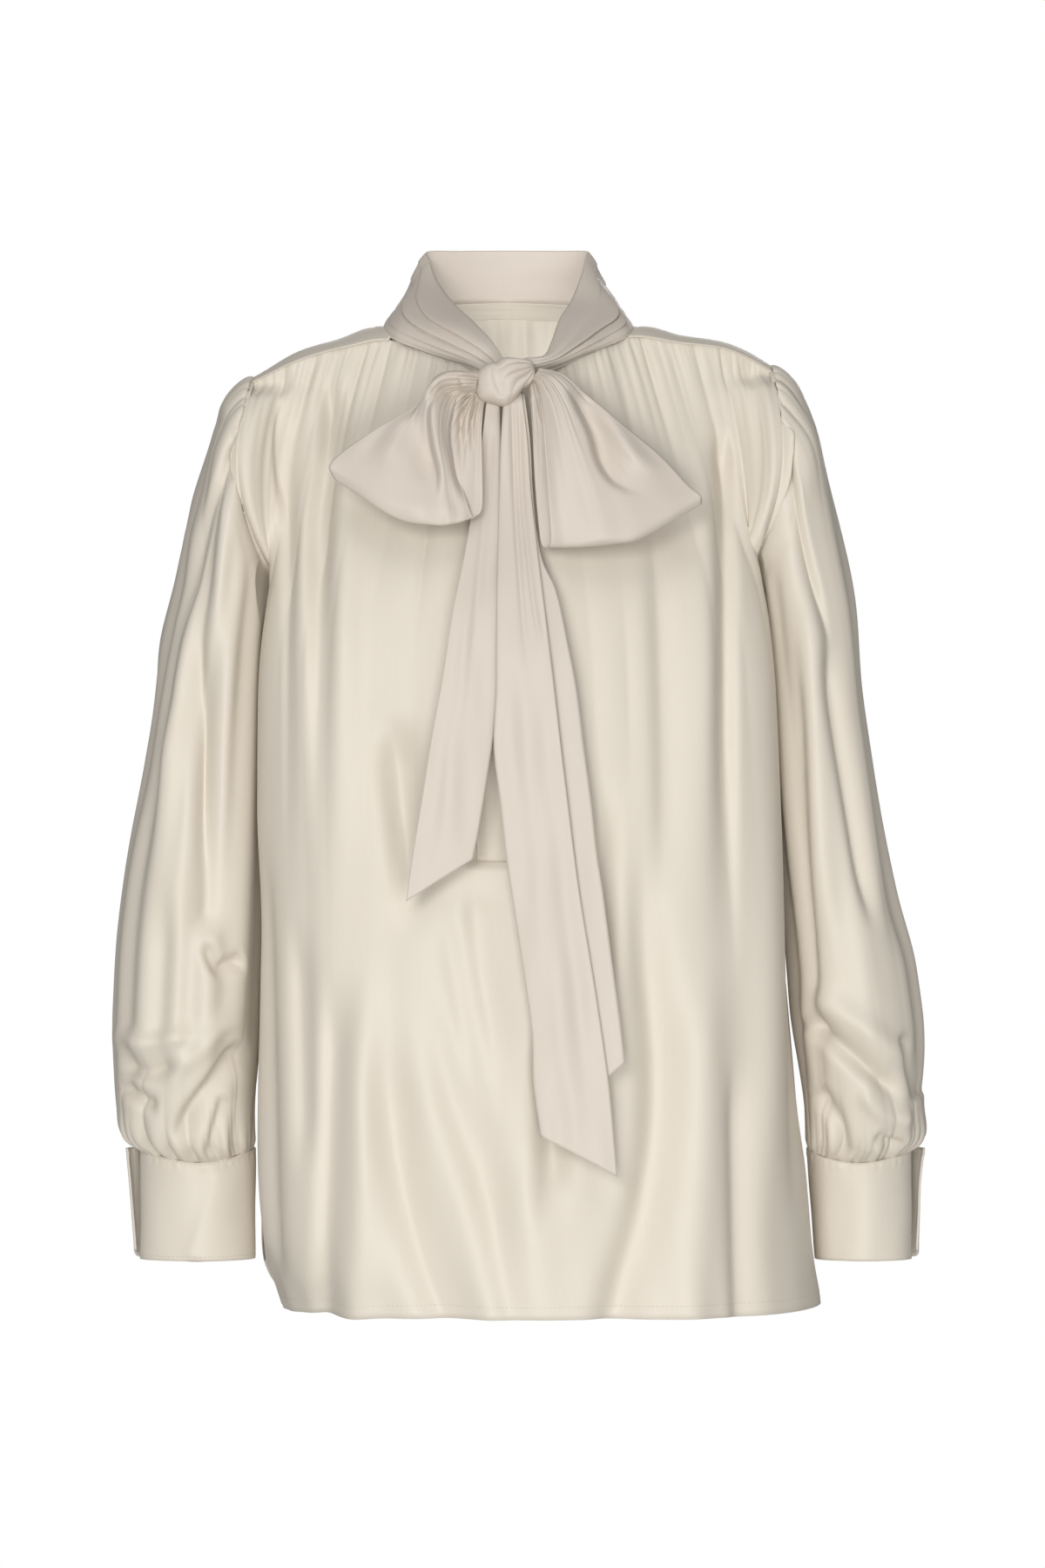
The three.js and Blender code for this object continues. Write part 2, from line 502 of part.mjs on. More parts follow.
function tailRows(table, cut, stations, across) {
  const rows = [];
  for (let i = 0; i <= stations; i += 1) {
    const row = [];
    for (let j = 0; j <= across; j += 1) {
      const t = (2 * j) / across - 1; // -1 front layer's free edge, 0 the fold, 1 the back's
      const end = lerp(cut.fold, t < 0 ? cut.front : cut.back, Math.abs(t));
      const z = lerp(table[0].z, end, (i / stations) ** 0.85);
      const read = (column) => along(table, "z", z, column);
      const edge = read(t < 0 ? "front" : "back");
      const reach = Math.max(0, Math.abs(t) - 0.08) / 0.92;
      const x = lerp(read("fold"), edge, reach);
      const soft = 1.6 * Math.sin(5 * t + z / 70) * ease((table[0].z - z) / 60);
      const layer = layerGap * Math.tanh(t * 6) * 0.5;
      row.push(vec(x, read("lean") + layer + soft * ease(reach * 2), z));
    }
    rows.push(row);
  }
  return rows;
}

// Placket: a strip on the front panel's own points, moved out, from the neck to its stitched end
const placketEnd = -368;
const panelOut = (p) => p.clone().add(vec(0, -(clothWall + 3 * seamGap), 0));
const placketColumns = [35, 36, 37, 38];
const placketRows = frontRows
  .map((row) => placketColumns.map((j) => panelOut(row[j])))
  .filter((row, i) => i > 0 && row[0].z > placketEnd - 10);

// How far out the body's side lies at one height and depth.
function bodySide(y, z, hand) {
  const reach = along(bodySections, "z", z, y < sideSeam ? "front" : "back") - sideSeam;
  const depth = clamp01((y - sideSeam) / reach) ** (sectionPower / 2);
  const across = Math.sqrt(1 - depth ** 2) ** (2 / sectionPower);
  const [right, left] = ["right", "left"].map((c) => along(bodySections, "z", z, c));
  const press = along(bodySections, "z", z, hand < 0 ? "pressRight" : "pressLeft")
    * bell(y, pressReach);
  return (left + right) / 2 + hand * ((left - right) / 2 - press) * across;
}

// Sleeves: the outer edge and the inner edge as a front view shows them, and the reach to the
// front and back, down to the cuff's seam.
const rightSleeve = [
  { z: -172, outer: -237, inner: -168, front: -66, back: 74 },
  { z: -242, outer: -253, inner: -171, front: -67, back: 77 },
  { z: -331, outer: -267, inner: -173, front: -67, back: 79 },
  { z: -419, outer: -279, inner: -176, front: -65, back: 78 },
  { z: -478, outer: -282.5, inner: -179, front: -62, back: 75 },
  { z: -520, outer: -283.5, inner: -181, front: -57, back: 69 },
  { z: -548, outer: -283, inner: -183, front: -49, back: 61 },
  { z: -568, outer: -280, inner: -183.5, front: -40, back: 50 },
  { z: -578, outer: -268, inner: -184.5, front: -25, back: 34 },
];
const leftSleeve = [
  { z: -172, outer: 243, inner: 181, front: -66, back: 74 },
  { z: -242, outer: 256, inner: 187, front: -67, back: 77 },
  { z: -331, outer: 271, inner: 193, front: -67, back: 79 },
  { z: -419, outer: 287, inner: 202, front: -65, back: 78 },
  { z: -478, outer: 296, inner: 207, front: -62, back: 75 },
  { z: -520, outer: 300, inner: 212, front: -57, back: 69 },
  { z: -548, outer: 301.5, inner: 215, front: -49, back: 61 },
  { z: -568, outer: 302, inner: 216.6, front: -40, back: 50 },
  { z: -578, outer: 293, inner: 217.6, front: -25, back: 34 },
];
// The sleeve head's outer edge, from the shoulder point down to where the table starts.
const sleeveHead = [
  { k: 0, out: 0, z: -21 }, { k: 0.2, out: 17, z: -18 }, { k: 0.4, out: 21, z: -38 },
  { k: 0.6, out: 31, z: -66 }, { k: 0.8, out: 38, z: -104 }, { k: 1, out: 51, z: -172 },
];
const sleeveFolds = [
  // Round the sleeve from its outer edge (0) by the front (0.25): place at the top and the foot
  { top: 0.22, low: 0.14, zTop: -70, zLow: -330, width: 0.035, out: -7 },
  { top: 0.3, low: 0.25, zTop: -150, zLow: -470, width: 0.035, out: -8 },
  { top: 0.12, low: 0.07, zTop: -60, zLow: -420, width: 0.045, out: 3 },
  { top: 0.66, low: 0.7, zTop: -90, zLow: -480, width: 0.05, out: -8 },
  { top: 0.82, low: 0.86, zTop: -120, zLow: -440, width: 0.05, out: -6 },
  { top: 0.4, low: 0.17, zTop: -470, zLow: -545, width: 0.05, out: -7 },
];
const headRings = 5;
const sleeveDrops = [0.14, 0.32, 0.5, 0.66, 0.79, 0.88, 0.945, 0.98, 1];
const slitTop = -505; // the sleeve's slit above the cuff's opening
const slitHalf = 0.12; // half the slit's width, as a share of a column
function sleeveRows(table, hand, columns) {
  const rings = [];
  const total = headRings + sleeveDrops.length;
  const shoulder = shoulderHalf + hand * shoulderShift; // how far out the sleeve's head starts
  const headOut = sleeveHead[sleeveHead.length - 1].out;
  for (let i = 0; i <= total; i += 1) {
    const k = Math.min(1, i / headRings);
    const below = i <= headRings ? 0 : sleeveDrops[i - headRings - 1];
    const z = lerp(table[0].z, table[table.length - 1].z, below);
    const ring = [];
    for (let j = 0; j < columns; j += 1) {
      const psi = lerp(slitHalf, columns - slitHalf, j / (columns - 1)) / columns;
      const angle = 2 * Math.PI * psi;
      const t = (1 - Math.cos(angle)) / 2;
      const side = Math.sin(angle) > 0 ? "front" : "back";
      const seam = armhole(t, side, hand).add(vec(hand * (0.9 + 2.5 * t ** 3), 0, -0.4 * t));
      const headWidth = (table[0].outer * hand - shoulder) / headOut;
      const outer = below > 0 ? along(table, "z", z, "outer")
        : hand * (shoulder + along(sleeveHead, "k", k, "out") * headWidth);
      const inner = below > 0 ? along(table, "z", z, "inner") : lerp(seam.x, table[0].inner, k);
      const reach = along(table, "z", z, side);
      const outerZ = below > 0 ? z : along(sleeveHead, "k", k, "z");
      const innerZ = below > 0 ? z : armholeLow - 6 * k;
      const full = vec(
        lerp(outer, inner, t),
        5 + (reach - 5) * Math.abs(Math.sin(angle)) ** 0.9,
        lerp(outerZ, innerZ, t),
      );
      const p = seam.clone().lerp(full, below > 0 ? 1 : ease(k * lerp(2.6, 1.15, t)));
      let out = 0;
      for (const fold of sleeveFolds) {
        const share = (fold.zTop - p.z) / (fold.zTop - fold.zLow);
        const fade = ease((share + 0.05) / 0.25) * ease((1.1 - share) / 0.25);
        out += fold.out * fade * bell(psi - lerp(fold.top, fold.low, share), fold.width);
      }
      const fromCuff = p.z - table[table.length - 1].z;
      out -= 1.8 * Math.cos(Math.PI * j) * Math.exp(-fromCuff / 22) * (0.5 + 0.5 * ease(fromCuff / 8));
      const head = Math.exp(-i * 0.55) * bell(t, 0.4) * ease(i);
      out += 1.8 * Math.cos(Math.PI * j) * head;
      const outward = vec(hand * Math.cos(angle), -Math.sin(angle), 0.3 * bell(k, 0.5) * (1 - t));
      p.addScaledVector(outward.normalize(), out);
      const clear = bodySide(p.y, p.z, hand) * hand + 2 * clothWall + 6 * bell(p.z + 165, 30);
      if (i > 0 && t > 0.55 && p.z < -120) p.x = hand * Math.max(p.x * hand, clear);
      ring.push(p);
    }
    rings.push(hand < 0 ? ring : ring.reverse());
  }
  return rings;
}
const sleeveColumns = 2 * sleeveGathers;
function sleeve(table, hand) {
  const rows = sleeveRows(table, hand, sleeveColumns);
  const slit = (i, j) => j === sleeveColumns - 1 && rows[i + 1][0].z < slitTop;
  return wall(rows, clothWall, { ring: true, skip: slit });
}

// Cuffs: a deep open band whose back end stands out past its front end
const rightCuff = { outer: -266.5, inner: -183.5, top: -578.9, low: -658, lowIn: 0, hand: -1 };
const leftCuff = { outer: 292, inner: 217, top: -578.9, low: -658, lowIn: 6, hand: 1 };
const cuffFlare = 5.5; // how far the back end stands out past the front end
const cuffSetBack = 3; // and how far back it lies from it
const [cuffStart, cuffEnd, cuffSlit] = [0.04, 0.985, 0.84]; // ends and flare's start, in turns
const [cuffMiddle, cuffDepth] = [4, 29.5]; // the ring's middle and half depth
function cuffRows(cuff, steps) {
  return [0, 0.5, 1].map((drop) => {
    const row = [];
    for (let j = 0; j <= steps; j += 1) {
      const turn = lerp(cuffStart, cuffEnd, j / steps);
      const angle = 2 * Math.PI * turn;
      const open = ease((turn - cuffSlit) / (cuffEnd - cuffSlit));
      const [half, centre] = [(cuff.outer - cuff.inner) / 2, (cuff.outer + cuff.inner) / 2];
      const inward = cuff.lowIn * drop * lerp(0.2, 1, ease((1 - Math.cos(angle)) / 2));
      row.push(vec(
        centre + half * Math.cos(angle) + cuff.hand * (cuffFlare * open + inward),
        cuffMiddle - cuffDepth * Math.sin(angle) + cuffSetBack * open,
        lerp(cuff.top, cuff.low, drop),
      ));
    }
    return row;
  });
}

// The blouse
const satin = { color: 0xded6c9, roughness: 0.42, metalness: 0 };
const tieSatin = { color: 0xdfd5cb, roughness: 0.42, metalness: 0 };
const blouse = new THREE.Group();
function add(name, geometry, finish = satin) {
  const mesh = new THREE.Mesh(geometry, new THREE.MeshStandardMaterial(finish));
  mesh.name = name;
  blouse.add(mesh);
}
add("front_panel", wall(frontRows, clothWall));
add("back_panel", wall(backRows, clothWall));
add("shoulder_yoke", wall(yokeRows, clothWall));
add("front_placket", wall(placketRows, clothWall));
add("sleeve_right", sleeve(rightSleeve, -1));
add("sleeve_left", sleeve(leftSleeve, 1));
add("cuff_right", wall(cuffRows(rightCuff, 26), cuffWall));
add("cuff_left", wall(cuffRows(leftCuff, 26), cuffWall));
add("collar", cutBy(wall(collarRows, clothWall), knotCutter), tieSatin);
add("bow_knot", facingOut(knotGeometry(0)), tieSatin);
add("bow_loop_right", cutBy(wall(loopRows(rightLoop, 18, 10), clothWall), knotCutter), tieSatin);
add("bow_loop_left", cutBy(wall(loopRows(leftLoop, 18, 10), clothWall), knotCutter), tieSatin);
const rightCut = { fold: -366, front: -397, back: -345 };
const leftCut = { fold: -559, front: -588, back: -509 };
add("bow_tail_right", cutBy(wall(tailRows(rightTail, rightCut, 11, 8), clothWall), knotCutter), tieSatin);
add("bow_tail_left", cutBy(wall(tailRows(leftTail, leftCut, 13, 8), clothWall), knotCutter), tieSatin);

export default blouse;
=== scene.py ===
import math

import bpy
import numpy as np
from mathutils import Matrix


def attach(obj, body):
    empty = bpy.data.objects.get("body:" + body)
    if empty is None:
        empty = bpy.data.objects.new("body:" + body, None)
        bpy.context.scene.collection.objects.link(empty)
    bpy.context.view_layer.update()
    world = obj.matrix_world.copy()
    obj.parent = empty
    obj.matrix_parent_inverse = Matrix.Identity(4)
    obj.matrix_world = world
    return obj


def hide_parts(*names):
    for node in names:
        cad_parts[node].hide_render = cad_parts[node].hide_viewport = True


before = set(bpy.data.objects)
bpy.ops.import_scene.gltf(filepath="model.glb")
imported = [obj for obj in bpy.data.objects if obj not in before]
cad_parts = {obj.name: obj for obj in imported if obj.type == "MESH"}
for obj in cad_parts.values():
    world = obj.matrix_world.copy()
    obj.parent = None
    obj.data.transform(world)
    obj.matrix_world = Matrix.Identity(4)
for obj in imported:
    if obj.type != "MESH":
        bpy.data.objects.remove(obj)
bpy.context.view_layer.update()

mm = 0.001    # sizes below are in millimetres; a mesh is scaled once, when it is made
# how the photograph was taken: its size and middle in pixels, the size of a pixel at the
# shoulders, and the camera, which looks straight along y
photo = dict(height=1800, middleAcross=600, middleDown=900, pixel=0.63,
             cameraX=10.7, cameraY=-4000.0, cameraZ=-315.0)
print("frame loaded")


# Curves and small helpers

def table(names, *rows):
    return dict(zip(names.split(), np.array(rows, float).T))


def smooth(keys, values, at):
    # a smooth curve through one column of a table
    if keys[0] > keys[-1]:
        keys, values = keys[::-1], values[::-1]
    slopes = np.empty(len(keys))
    slopes[1:-1] = (values[2:] - values[:-2]) / (keys[2:] - keys[:-2])
    slopes[0] = (values[1] - values[0]) / (keys[1] - keys[0])
    slopes[-1] = (values[-1] - values[-2]) / (keys[-1] - keys[-2])
    i = np.clip(np.searchsorted(keys, at) - 1, 0, len(keys) - 2)
    step = keys[i + 1] - keys[i]
    t = np.clip((at - keys[i]) / step, 0, 1)
    start = (2 * t ** 3 - 3 * t ** 2 + 1) * values[i] + (t ** 3 - 2 * t ** 2 + t) * slopes[i] * step
    return start + (3 * t ** 2 - 2 * t ** 3) * values[i + 1] + (t ** 3 - t ** 2) * slopes[i + 1] * step


def read(source, key, at, names):
    at = np.asarray(at, float)
    return [smooth(source[key], source[name], at) for name in names.split()]


def lerp(a, b, t):
    return a + (b - a) * t


def ease(t):
    t = np.clip(t, 0, 1)
    return t * t * (3 - 2 * t)


def bell(distance, width):
    return np.exp(-(distance / width) ** 2)


def wobble(a, b=0.0, seed=1, waves=6):
    # smooth, uneven and the same on every run, about -1 to 1
    dice = np.random.default_rng(seed)
    total = 0.0
    for angle, pitch, phase in zip(*(dice.uniform(0, 1, (3, waves)))):
        reach = 2 * math.pi * (0.5 + pitch)
        along = a * math.cos(6.3 * angle) + b * math.sin(6.3 * angle)
        total = total + np.sin(reach * along + 6.3 * phase)
    return total / math.sqrt(waves)


def normalsOf(grid, ring=False):
    down = np.gradient(grid, axis=0)
    if ring:
        over = (np.roll(grid, -1, axis=1) - np.roll(grid, 1, axis=1)) / 2
    else:
        over = np.gradient(grid, axis=1)
    out = np.cross(down, over)
    return out / np.maximum(np.linalg.norm(out, axis=2, keepdims=True), 1e-9)


def pushed(grid, height, ring=False):
    return grid + normalsOf(grid, ring) * np.asarray(height)[..., None]


def pathThrough(points, steps=14):
    points = np.array(points, float)
    at = np.linspace(0, len(points) - 1, steps)
    keys = np.arange(len(points), dtype=float)
    if len(points) < 3:
        return np.stack([np.interp(at, keys, points[:, k]) for k in (0, 1)], axis=1)
    return np.stack([smooth(keys, points[:, k], at) for k in (0, 1)], axis=1)


def crease(a, b, points, width, depth, wide=1.0, fadeIn=0.25, fadeOut=0.25):
    # one soft fold along a path over the cloth. A minus depth is a trough. wide makes the side
    # on the path's left that many times as wide, as where cloth laps over.
    path = pathThrough(points)
    nearest = np.full(a.shape, 1e9)
    place = np.zeros(a.shape)
    side = np.ones(a.shape)
    last = len(path) - 1
    for k in range(last):
        (pa, pb), (qa, qb) = path[k], path[k + 1]
        da, db = qa - pa, qb - pb
        t = np.clip(((a - pa) * da + (b - pb) * db) / (da * da + db * db + 1e-9), 0, 1)
        ea, eb = a - pa - t * da, b - pb - t * db
        far = ea * ea + eb * eb
        closer = far < nearest
        nearest = np.where(closer, far, nearest)
        place = np.where(closer, (k + t) / last, place)
        side = np.where(closer, np.sign(da * eb - db * ea), side)
    reach = np.sqrt(nearest) / (width * np.where(side > 0, wide, 1.0))
    fade = 1.0
    if fadeIn > 0:
        fade = fade * ease(place / fadeIn)
    if fadeOut > 0:
        fade = fade * ease((1 - place) / fadeOut)
    return depth * fade * np.exp(-reach ** 2)


def creases(a, b, rows):
    return sum(crease(a, b, *row) for row in rows)


def finer(points, count, axis):
    keys = np.arange(points.shape[axis], dtype=float)
    at = np.linspace(0, keys[-1], count)
    lines = np.moveaxis(points, axis, 0)
    flat = lines.reshape(len(keys), -1)
    fine = np.stack([smooth(keys, flat[:, k], at) for k in range(flat.shape[1])], axis=1)
    return np.moveaxis(fine.reshape(count, *lines.shape[1:]), 0, axis)


def net(points, rows, columns):
    # a smooth surface through a given net of points
    return finer(finer(np.array(points, float), rows, 0), columns, 1)


# Meshes

wall = dict(body=0.6, tie=0.7, cuff=1.6)    # thickness of the pieces that show both sides


def clothMesh(name, grid, finish, span, ring=False, thickness=0.0, keep=None):
    # span is the cloth's width and length in metres, which its thread coordinates use
    rows, columns = grid.shape[:2]
    wide = columns if ring else columns - 1
    i, j = np.meshgrid(np.arange(rows - 1), np.arange(wide), indexing="ij")
    nextJ = (j + 1) % columns
    quads = np.stack([i * columns + j, (i + 1) * columns + j, (i + 1) * columns + nextJ,
                      i * columns + nextJ], axis=-1)
    if keep is not None:
        quads = quads[keep]
    quads = quads.reshape(-1, 4)
    mesh = bpy.data.meshes.new(name)
    mesh.from_pydata((grid.reshape(-1, 3) * mm).tolist(), [], quads.tolist())
    threads = mesh.uv_layers.new(name="threads")
    u = np.tile(np.arange(columns) / max(1, columns - 1), (rows, 1)) * span[0]
    v = np.tile((np.arange(rows) / (rows - 1))[:, None], (1, columns)) * span[1]
    flat = np.stack([u, v], axis=-1).reshape(-1, 2)[quads.reshape(-1)]
    threads.data.foreach_set("uv", flat.reshape(-1))
    mesh.polygons.foreach_set("use_smooth", [True] * len(mesh.polygons))
    mesh.materials.append(finish)
    piece = bpy.data.objects.new(name, mesh)
    bpy.context.scene.collection.objects.link(piece)
    if thickness:
        layer = piece.modifiers.new("thickness", "SOLIDIFY")
        layer.thickness = thickness * mm
        layer.offset = 0
    return piece


def seated(piece, slot, *nodes):
    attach(piece, "root")
    if nodes:
        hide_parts(*nodes)
    return piece


def stitched(name, lines, finish, length=2.3, gap=1.1, radius=0.24):
    # runs of stitches: each line is its points and the way out of the cloth there
    corners, faces = [], []
    for points, outs in lines:
        steps = np.linalg.norm(np.diff(points, axis=0), axis=1)
        far = np.concatenate([[0], np.cumsum(steps)])
        for start in np.arange(gap, far[-1] - length, length + gap):
            ends = [np.array([np.interp(s, far, points[:, k]) for k in range(3)])
                    for s in (start, start + length)]
            out = np.array([np.interp(start, far, outs[:, k]) for k in range(3)])
            forward = ends[1] - ends[0]
            side = np.cross(forward, out)
            side = side / max(np.linalg.norm(side), 1e-9) * radius
            lift = out * radius
            middle = (ends[0] + ends[1]) / 2
            base = len(corners)
            corners += [ends[0], middle + side, middle + lift, middle - side, middle - lift, ends[1]]
            for k in range(4):
                a, b = base + 1 + k, base + 1 + (k + 1) % 4
                faces += [(base, b, a), (base + 5, a, b)]
    mesh = bpy.data.meshes.new(name)
    mesh.from_pydata((np.array(corners) * mm).tolist(), [], faces)
    mesh.materials.append(finish)
    piece = bpy.data.objects.new(name, mesh)
    bpy.context.scene.collection.objects.link(piece)
    return piece


# Finishes

def feed(tree, node, feeds):
    # fills inputs of a node, each with a value or from another node's output
    for key, source in feeds.items():
        if isinstance(source, bpy.types.NodeSocket):
            tree.links.new(source, node.inputs[key])
        else:
            node.inputs[key].default_value = source
    return node


def addNode(tree, kind, feeds=None, **settings):
    node = tree.nodes.new(kind)
    for key, value in settings.items():
        setattr(node, key, value)
    return feed(tree, node, feeds or {})


def newFinish(name):
    finish = bpy.data.materials.new(name)
    finish.use_nodes = True
    return finish, finish.node_tree, finish.node_tree.nodes["Principled BSDF"]


def buildSatinGroup():
    # satin threads, slight slubs and slow changes of tone, from thread coordinates in metres
    group = bpy.data.node_groups.new("satinThreads", "ShaderNodeTree")
    face = group.interface
    for label, start in (("Threads", 1500.0), ("Slub", 0.3), ("Tone", 0.05)):
        face.new_socket(label, in_out="INPUT", socket_type="NodeSocketFloat").default_value = start
    for label in ("Tone", "Gloss", "Height"):
        face.new_socket(label, in_out="OUTPUT", socket_type="NodeSocketFloat")
    given = addNode(group, "NodeGroupInput")
    place = addNode(group, "ShaderNodeUVMap", uv_map="threads")

    def stretched(scale):
        return addNode(group, "ShaderNodeMapping", {"Vector": place.outputs["UV"], "Scale": scale})

    def noise(vector, scale, detail):
        feeds = {"Vector": vector, "Scale": scale, "Detail": detail}
        return addNode(group, "ShaderNodeTexNoise", feeds).outputs["Fac"]

    def maths(operation, *terms):
        return addNode(group, "ShaderNodeMath", dict(enumerate(terms)), operation=operation).outputs[0]

    warp = noise(stretched((1.0, 0.22, 1.0)).outputs["Vector"], given.outputs["Threads"], 1.0)
    slubs = noise(stretched((420.0, 26.0, 1.0)).outputs["Vector"], 1.0, 2.0)
    slow = noise(place.outputs["UV"], 7.0, 2.0)
    height = maths("ADD", warp, maths("MULTIPLY", slubs, given.outputs["Slub"]))
    slowTone = maths("MULTIPLY", maths("SUBTRACT", slow, 0.5), given.outputs["Tone"])
    tone = maths("ADD", maths("MULTIPLY_ADD", slubs, 0.03, slowTone), 0.985)
    gloss = addNode(group, "ShaderNodeMapRange", {"Value": slow, "To Min": -0.05, "To Max": 0.05})
    addNode(group, "NodeGroupOutput",
            {"Tone": tone, "Gloss": gloss.outputs["Result"], "Height": height})
    return group


satinThreads = buildSatinGroup()


def satinFinish(name, look):
    finish, tree, shader = newFinish(name)
    amounts = {label: look[label.lower()] for label in ("Threads", "Slub", "Tone")}
    threads = addNode(tree, "ShaderNodeGroup", node_tree=satinThreads)
    feed(tree, threads, amounts)
    shade = addNode(tree, "ShaderNodeMix", data_type="RGBA", blend_type="MULTIPLY")
    feed(tree, shade, {"Factor": 1.0, "A": (*look["colour"], 1), "B": threads.outputs["Tone"]})
    rough = addNode(tree, "ShaderNodeMath", operation="ADD")
    feed(tree, rough, {0: threads.outputs["Gloss"], 1: look["roughness"]})
    bump = addNode(tree, "ShaderNodeBump")
    feed(tree, bump, {"Height": threads.outputs["Height"], "Strength": look["bump"],
                      "Distance": look["threadDepth"]})
    feed(tree, shader, {
        "Base Color": shade.outputs["Result"], "Roughness": rough.outputs[0],
        "Normal": bump.outputs["Normal"], "Specular IOR Level": look["specular"],
        "Sheen Weight": look["sheen"], "Sheen Roughness": look["sheenRoughness"],
        "Sheen Tint": look["sheenTint"], "Metallic": look["metallic"]})
    return finish


satin = dict(
    roughness=0.5, specular=0.5, metallic=0.0, bump=0.12, threadDepth=0.0001,
    sheen=0.04, sheenRoughness=0.4, sheenTint=(1.0, 0.97, 0.92, 1),
    threads=1500.0, slub=0.3, tone=0.05)
bodySatin = satinFinish("creamSatin", dict(satin, colour=(0.680, 0.622, 0.536)))
tieSatin = satinFinish("tieSatin", dict(satin, colour=(0.610, 0.545, 0.478)))


def threadFinish(name, colour, darker=0.9, plyScale=900.0, roughness=0.55):
    finish, tree, shader = newFinish(name)
    place = addNode(tree, "ShaderNodeTexCoord")
    ply = addNode(tree, "ShaderNodeTexNoise", {"Vector": place.outputs["Object"], "Scale": plyScale})
    shade = addNode(tree, "ShaderNodeMix", data_type="RGBA")
    feed(tree, shade, {"Factor": ply.outputs["Fac"], "A": (*[darker * c for c in colour], 1),
                       "B": (*colour, 1)})
    feed(tree, shader, {"Base Color": shade.outputs["Result"], "Roughness": roughness})
    return finish


seamThread = threadFinish("seamThread", (0.56, 0.51, 0.43))
print("finishes made")


# The body's form

shoulderShift = 3.0       # the shoulders' middle lies this far to the wearer's left
shoulderHalf = 188.0
shoulderDrop = -21.0
underarm = -172.0

bodySections = table(
    "z right left front back pressRight pressLeft",
    (40, -184, 186, -76, 60, 6, 8),
    (-20, -188, 190, -88, 84, 15, 17),
    (-80, -188, 192.5, -108, 105, 23, 28),
    (-140, -186, 193.5, -122, 114, 25, 34),
    (-172, -190, 198, -127, 115, 32, 38),
    (-230, -194, 202, -131, 117, 34, 40),
    (-345, -195, 208, -136, 119, 33, 33),
    (-470, -195, 217, -139, 122, 28, 20),
    (-580, -193, 221, -141, 125, 17, 9),
    (-635, -188, 222.6, -142, 126, 11, 6),
    (-660, -180, 224.2, -142, 127, 4, 4),
    (-680, -168, 225.6, -142, 128, 0, 1),
    (-700, -161, 227, -142, 128, 0, 0))
frontSeam = table(
    "u x y z",
    (0, -183.5, -24, -26.7), (0.09, -149, -32, -11), (0.18, -114, -36, -1.5), (0.255, -85, -38, 3),
    (0.34, -54, -60, -9.5), (0.43, -24, -74, -20), (0.5, 0, -77, -23), (0.57, 24, -74, -20),
    (0.66, 56, -60, -8.5), (0.745, 87, -38, 5), (0.82, 117, -36, 2), (0.91, 154, -32, -7),
    (1, 189.5, -24, -26.7))
yokeHalf = table(
    "b nx ny nz bx by bz rise",
    (0, 0, 60, 38, 0, 68, 27, 0.3), (0.18, 44, 52, 35, 48, 66, 24, 0.6),
    (0.34, 74, 30, 28, 84, 62, 15, 1.5), (0.46, 86, 0, 17, 98, 58, 8, 4),
    (0.58, 86, -38, 4, 110, 52, 1, 12), (0.72, 115, -36, 0, 132, 46, -7, 10),
    (0.87, 151, -32, -9, 160, 36, -15, 8), (1, 186.5, -24, -26.7, 186.5, 26, -26.9, 5.5))
frontHem = table("u z", (0, -691), (0.06, -692), (0.16, -690), (0.5, -689), (0.84, -689),
                 (0.94, -688), (1, -685))
backHem = table("u z", (0, -660), (0.03, -677), (0.07, -688), (0.2, -694), (0.5, -697), (0.8, -692),
                (0.93, -680), (0.97, -664), (1, -650))

sectionPower = 2.5        # how square the body's section is
sideSeam = 5.0            # the side seams' depth
pressReach = 44.0         # how far to the front and back of the arm a sleeve presses the body
chestFall = 250.0         # from the seams to where the cloth hangs free of the chest
armholeForm = dict(inset=2, inwards=22, outwards=10, front=-64.0, back=66.0, low=5)
leftLift = dict(height=8, fromX=118, overX=68, fromZ=-112, overZ=90)


def sectionAngles():
    angle = np.linspace(0, math.pi, 600)
    x = 198 * np.sign(np.cos(angle)) * np.abs(np.cos(angle)) ** (2 / sectionPower)
    y = 130 * np.abs(np.sin(angle)) ** (2 / sectionPower)
    far = np.concatenate([[0], np.cumsum(np.hypot(np.diff(x), np.diff(y)))])
    return far / far[-1], angle


sectionShare, sectionAngle = sectionAngles()


def sectionPoint(u, z, side):
    angle = np.interp(u, sectionShare, sectionAngle)
    right, left, reach, pressRight, pressLeft = read(
        bodySections, "z", z, f"right left {side} pressRight pressLeft")
    across = np.cos(angle)
    y = sideSeam + (reach - sideSeam) * np.abs(np.sin(angle)) ** (2 / sectionPower)
    half = (left - right) / 2 - np.where(across > 0, pressRight, pressLeft) * bell(y, pressReach)
    x = (left + right) / 2 - half * np.sign(across) * np.abs(across) ** (2 / sectionPower)
    return x, y


def armhole(t, side, hand):
    # t goes down from the shoulder point to the underarm
    form = armholeForm
    bend = form["outwards"] * np.sin(math.pi * t) - form["inwards"] * t ** 3
    x = shoulderHalf - form["inset"] + bend + hand * shoulderShift * (1 - t)
    reach = np.where(side == "front", form["front"], form["back"])
    y = form["low"] * t + reach * 2 * np.sqrt(np.clip(t * (1 - t), 0, 1))
    return hand * x, y, lerp(shoulderDrop, underarm, t)


def yokeEdge(u, names):
    hand = np.where(u < 0.5, -1.0, 1.0)
    b = np.abs(u - 0.5) * 2
    x, y, z = read(yokeHalf, "b", b, names)
    return np.stack([x * hand + shoulderShift * ease((b - 0.4) / 0.6), y, z], axis=-1)


def frontTop(u):
    return np.stack(read(frontSeam, "u", u, "x y z"), axis=-1)


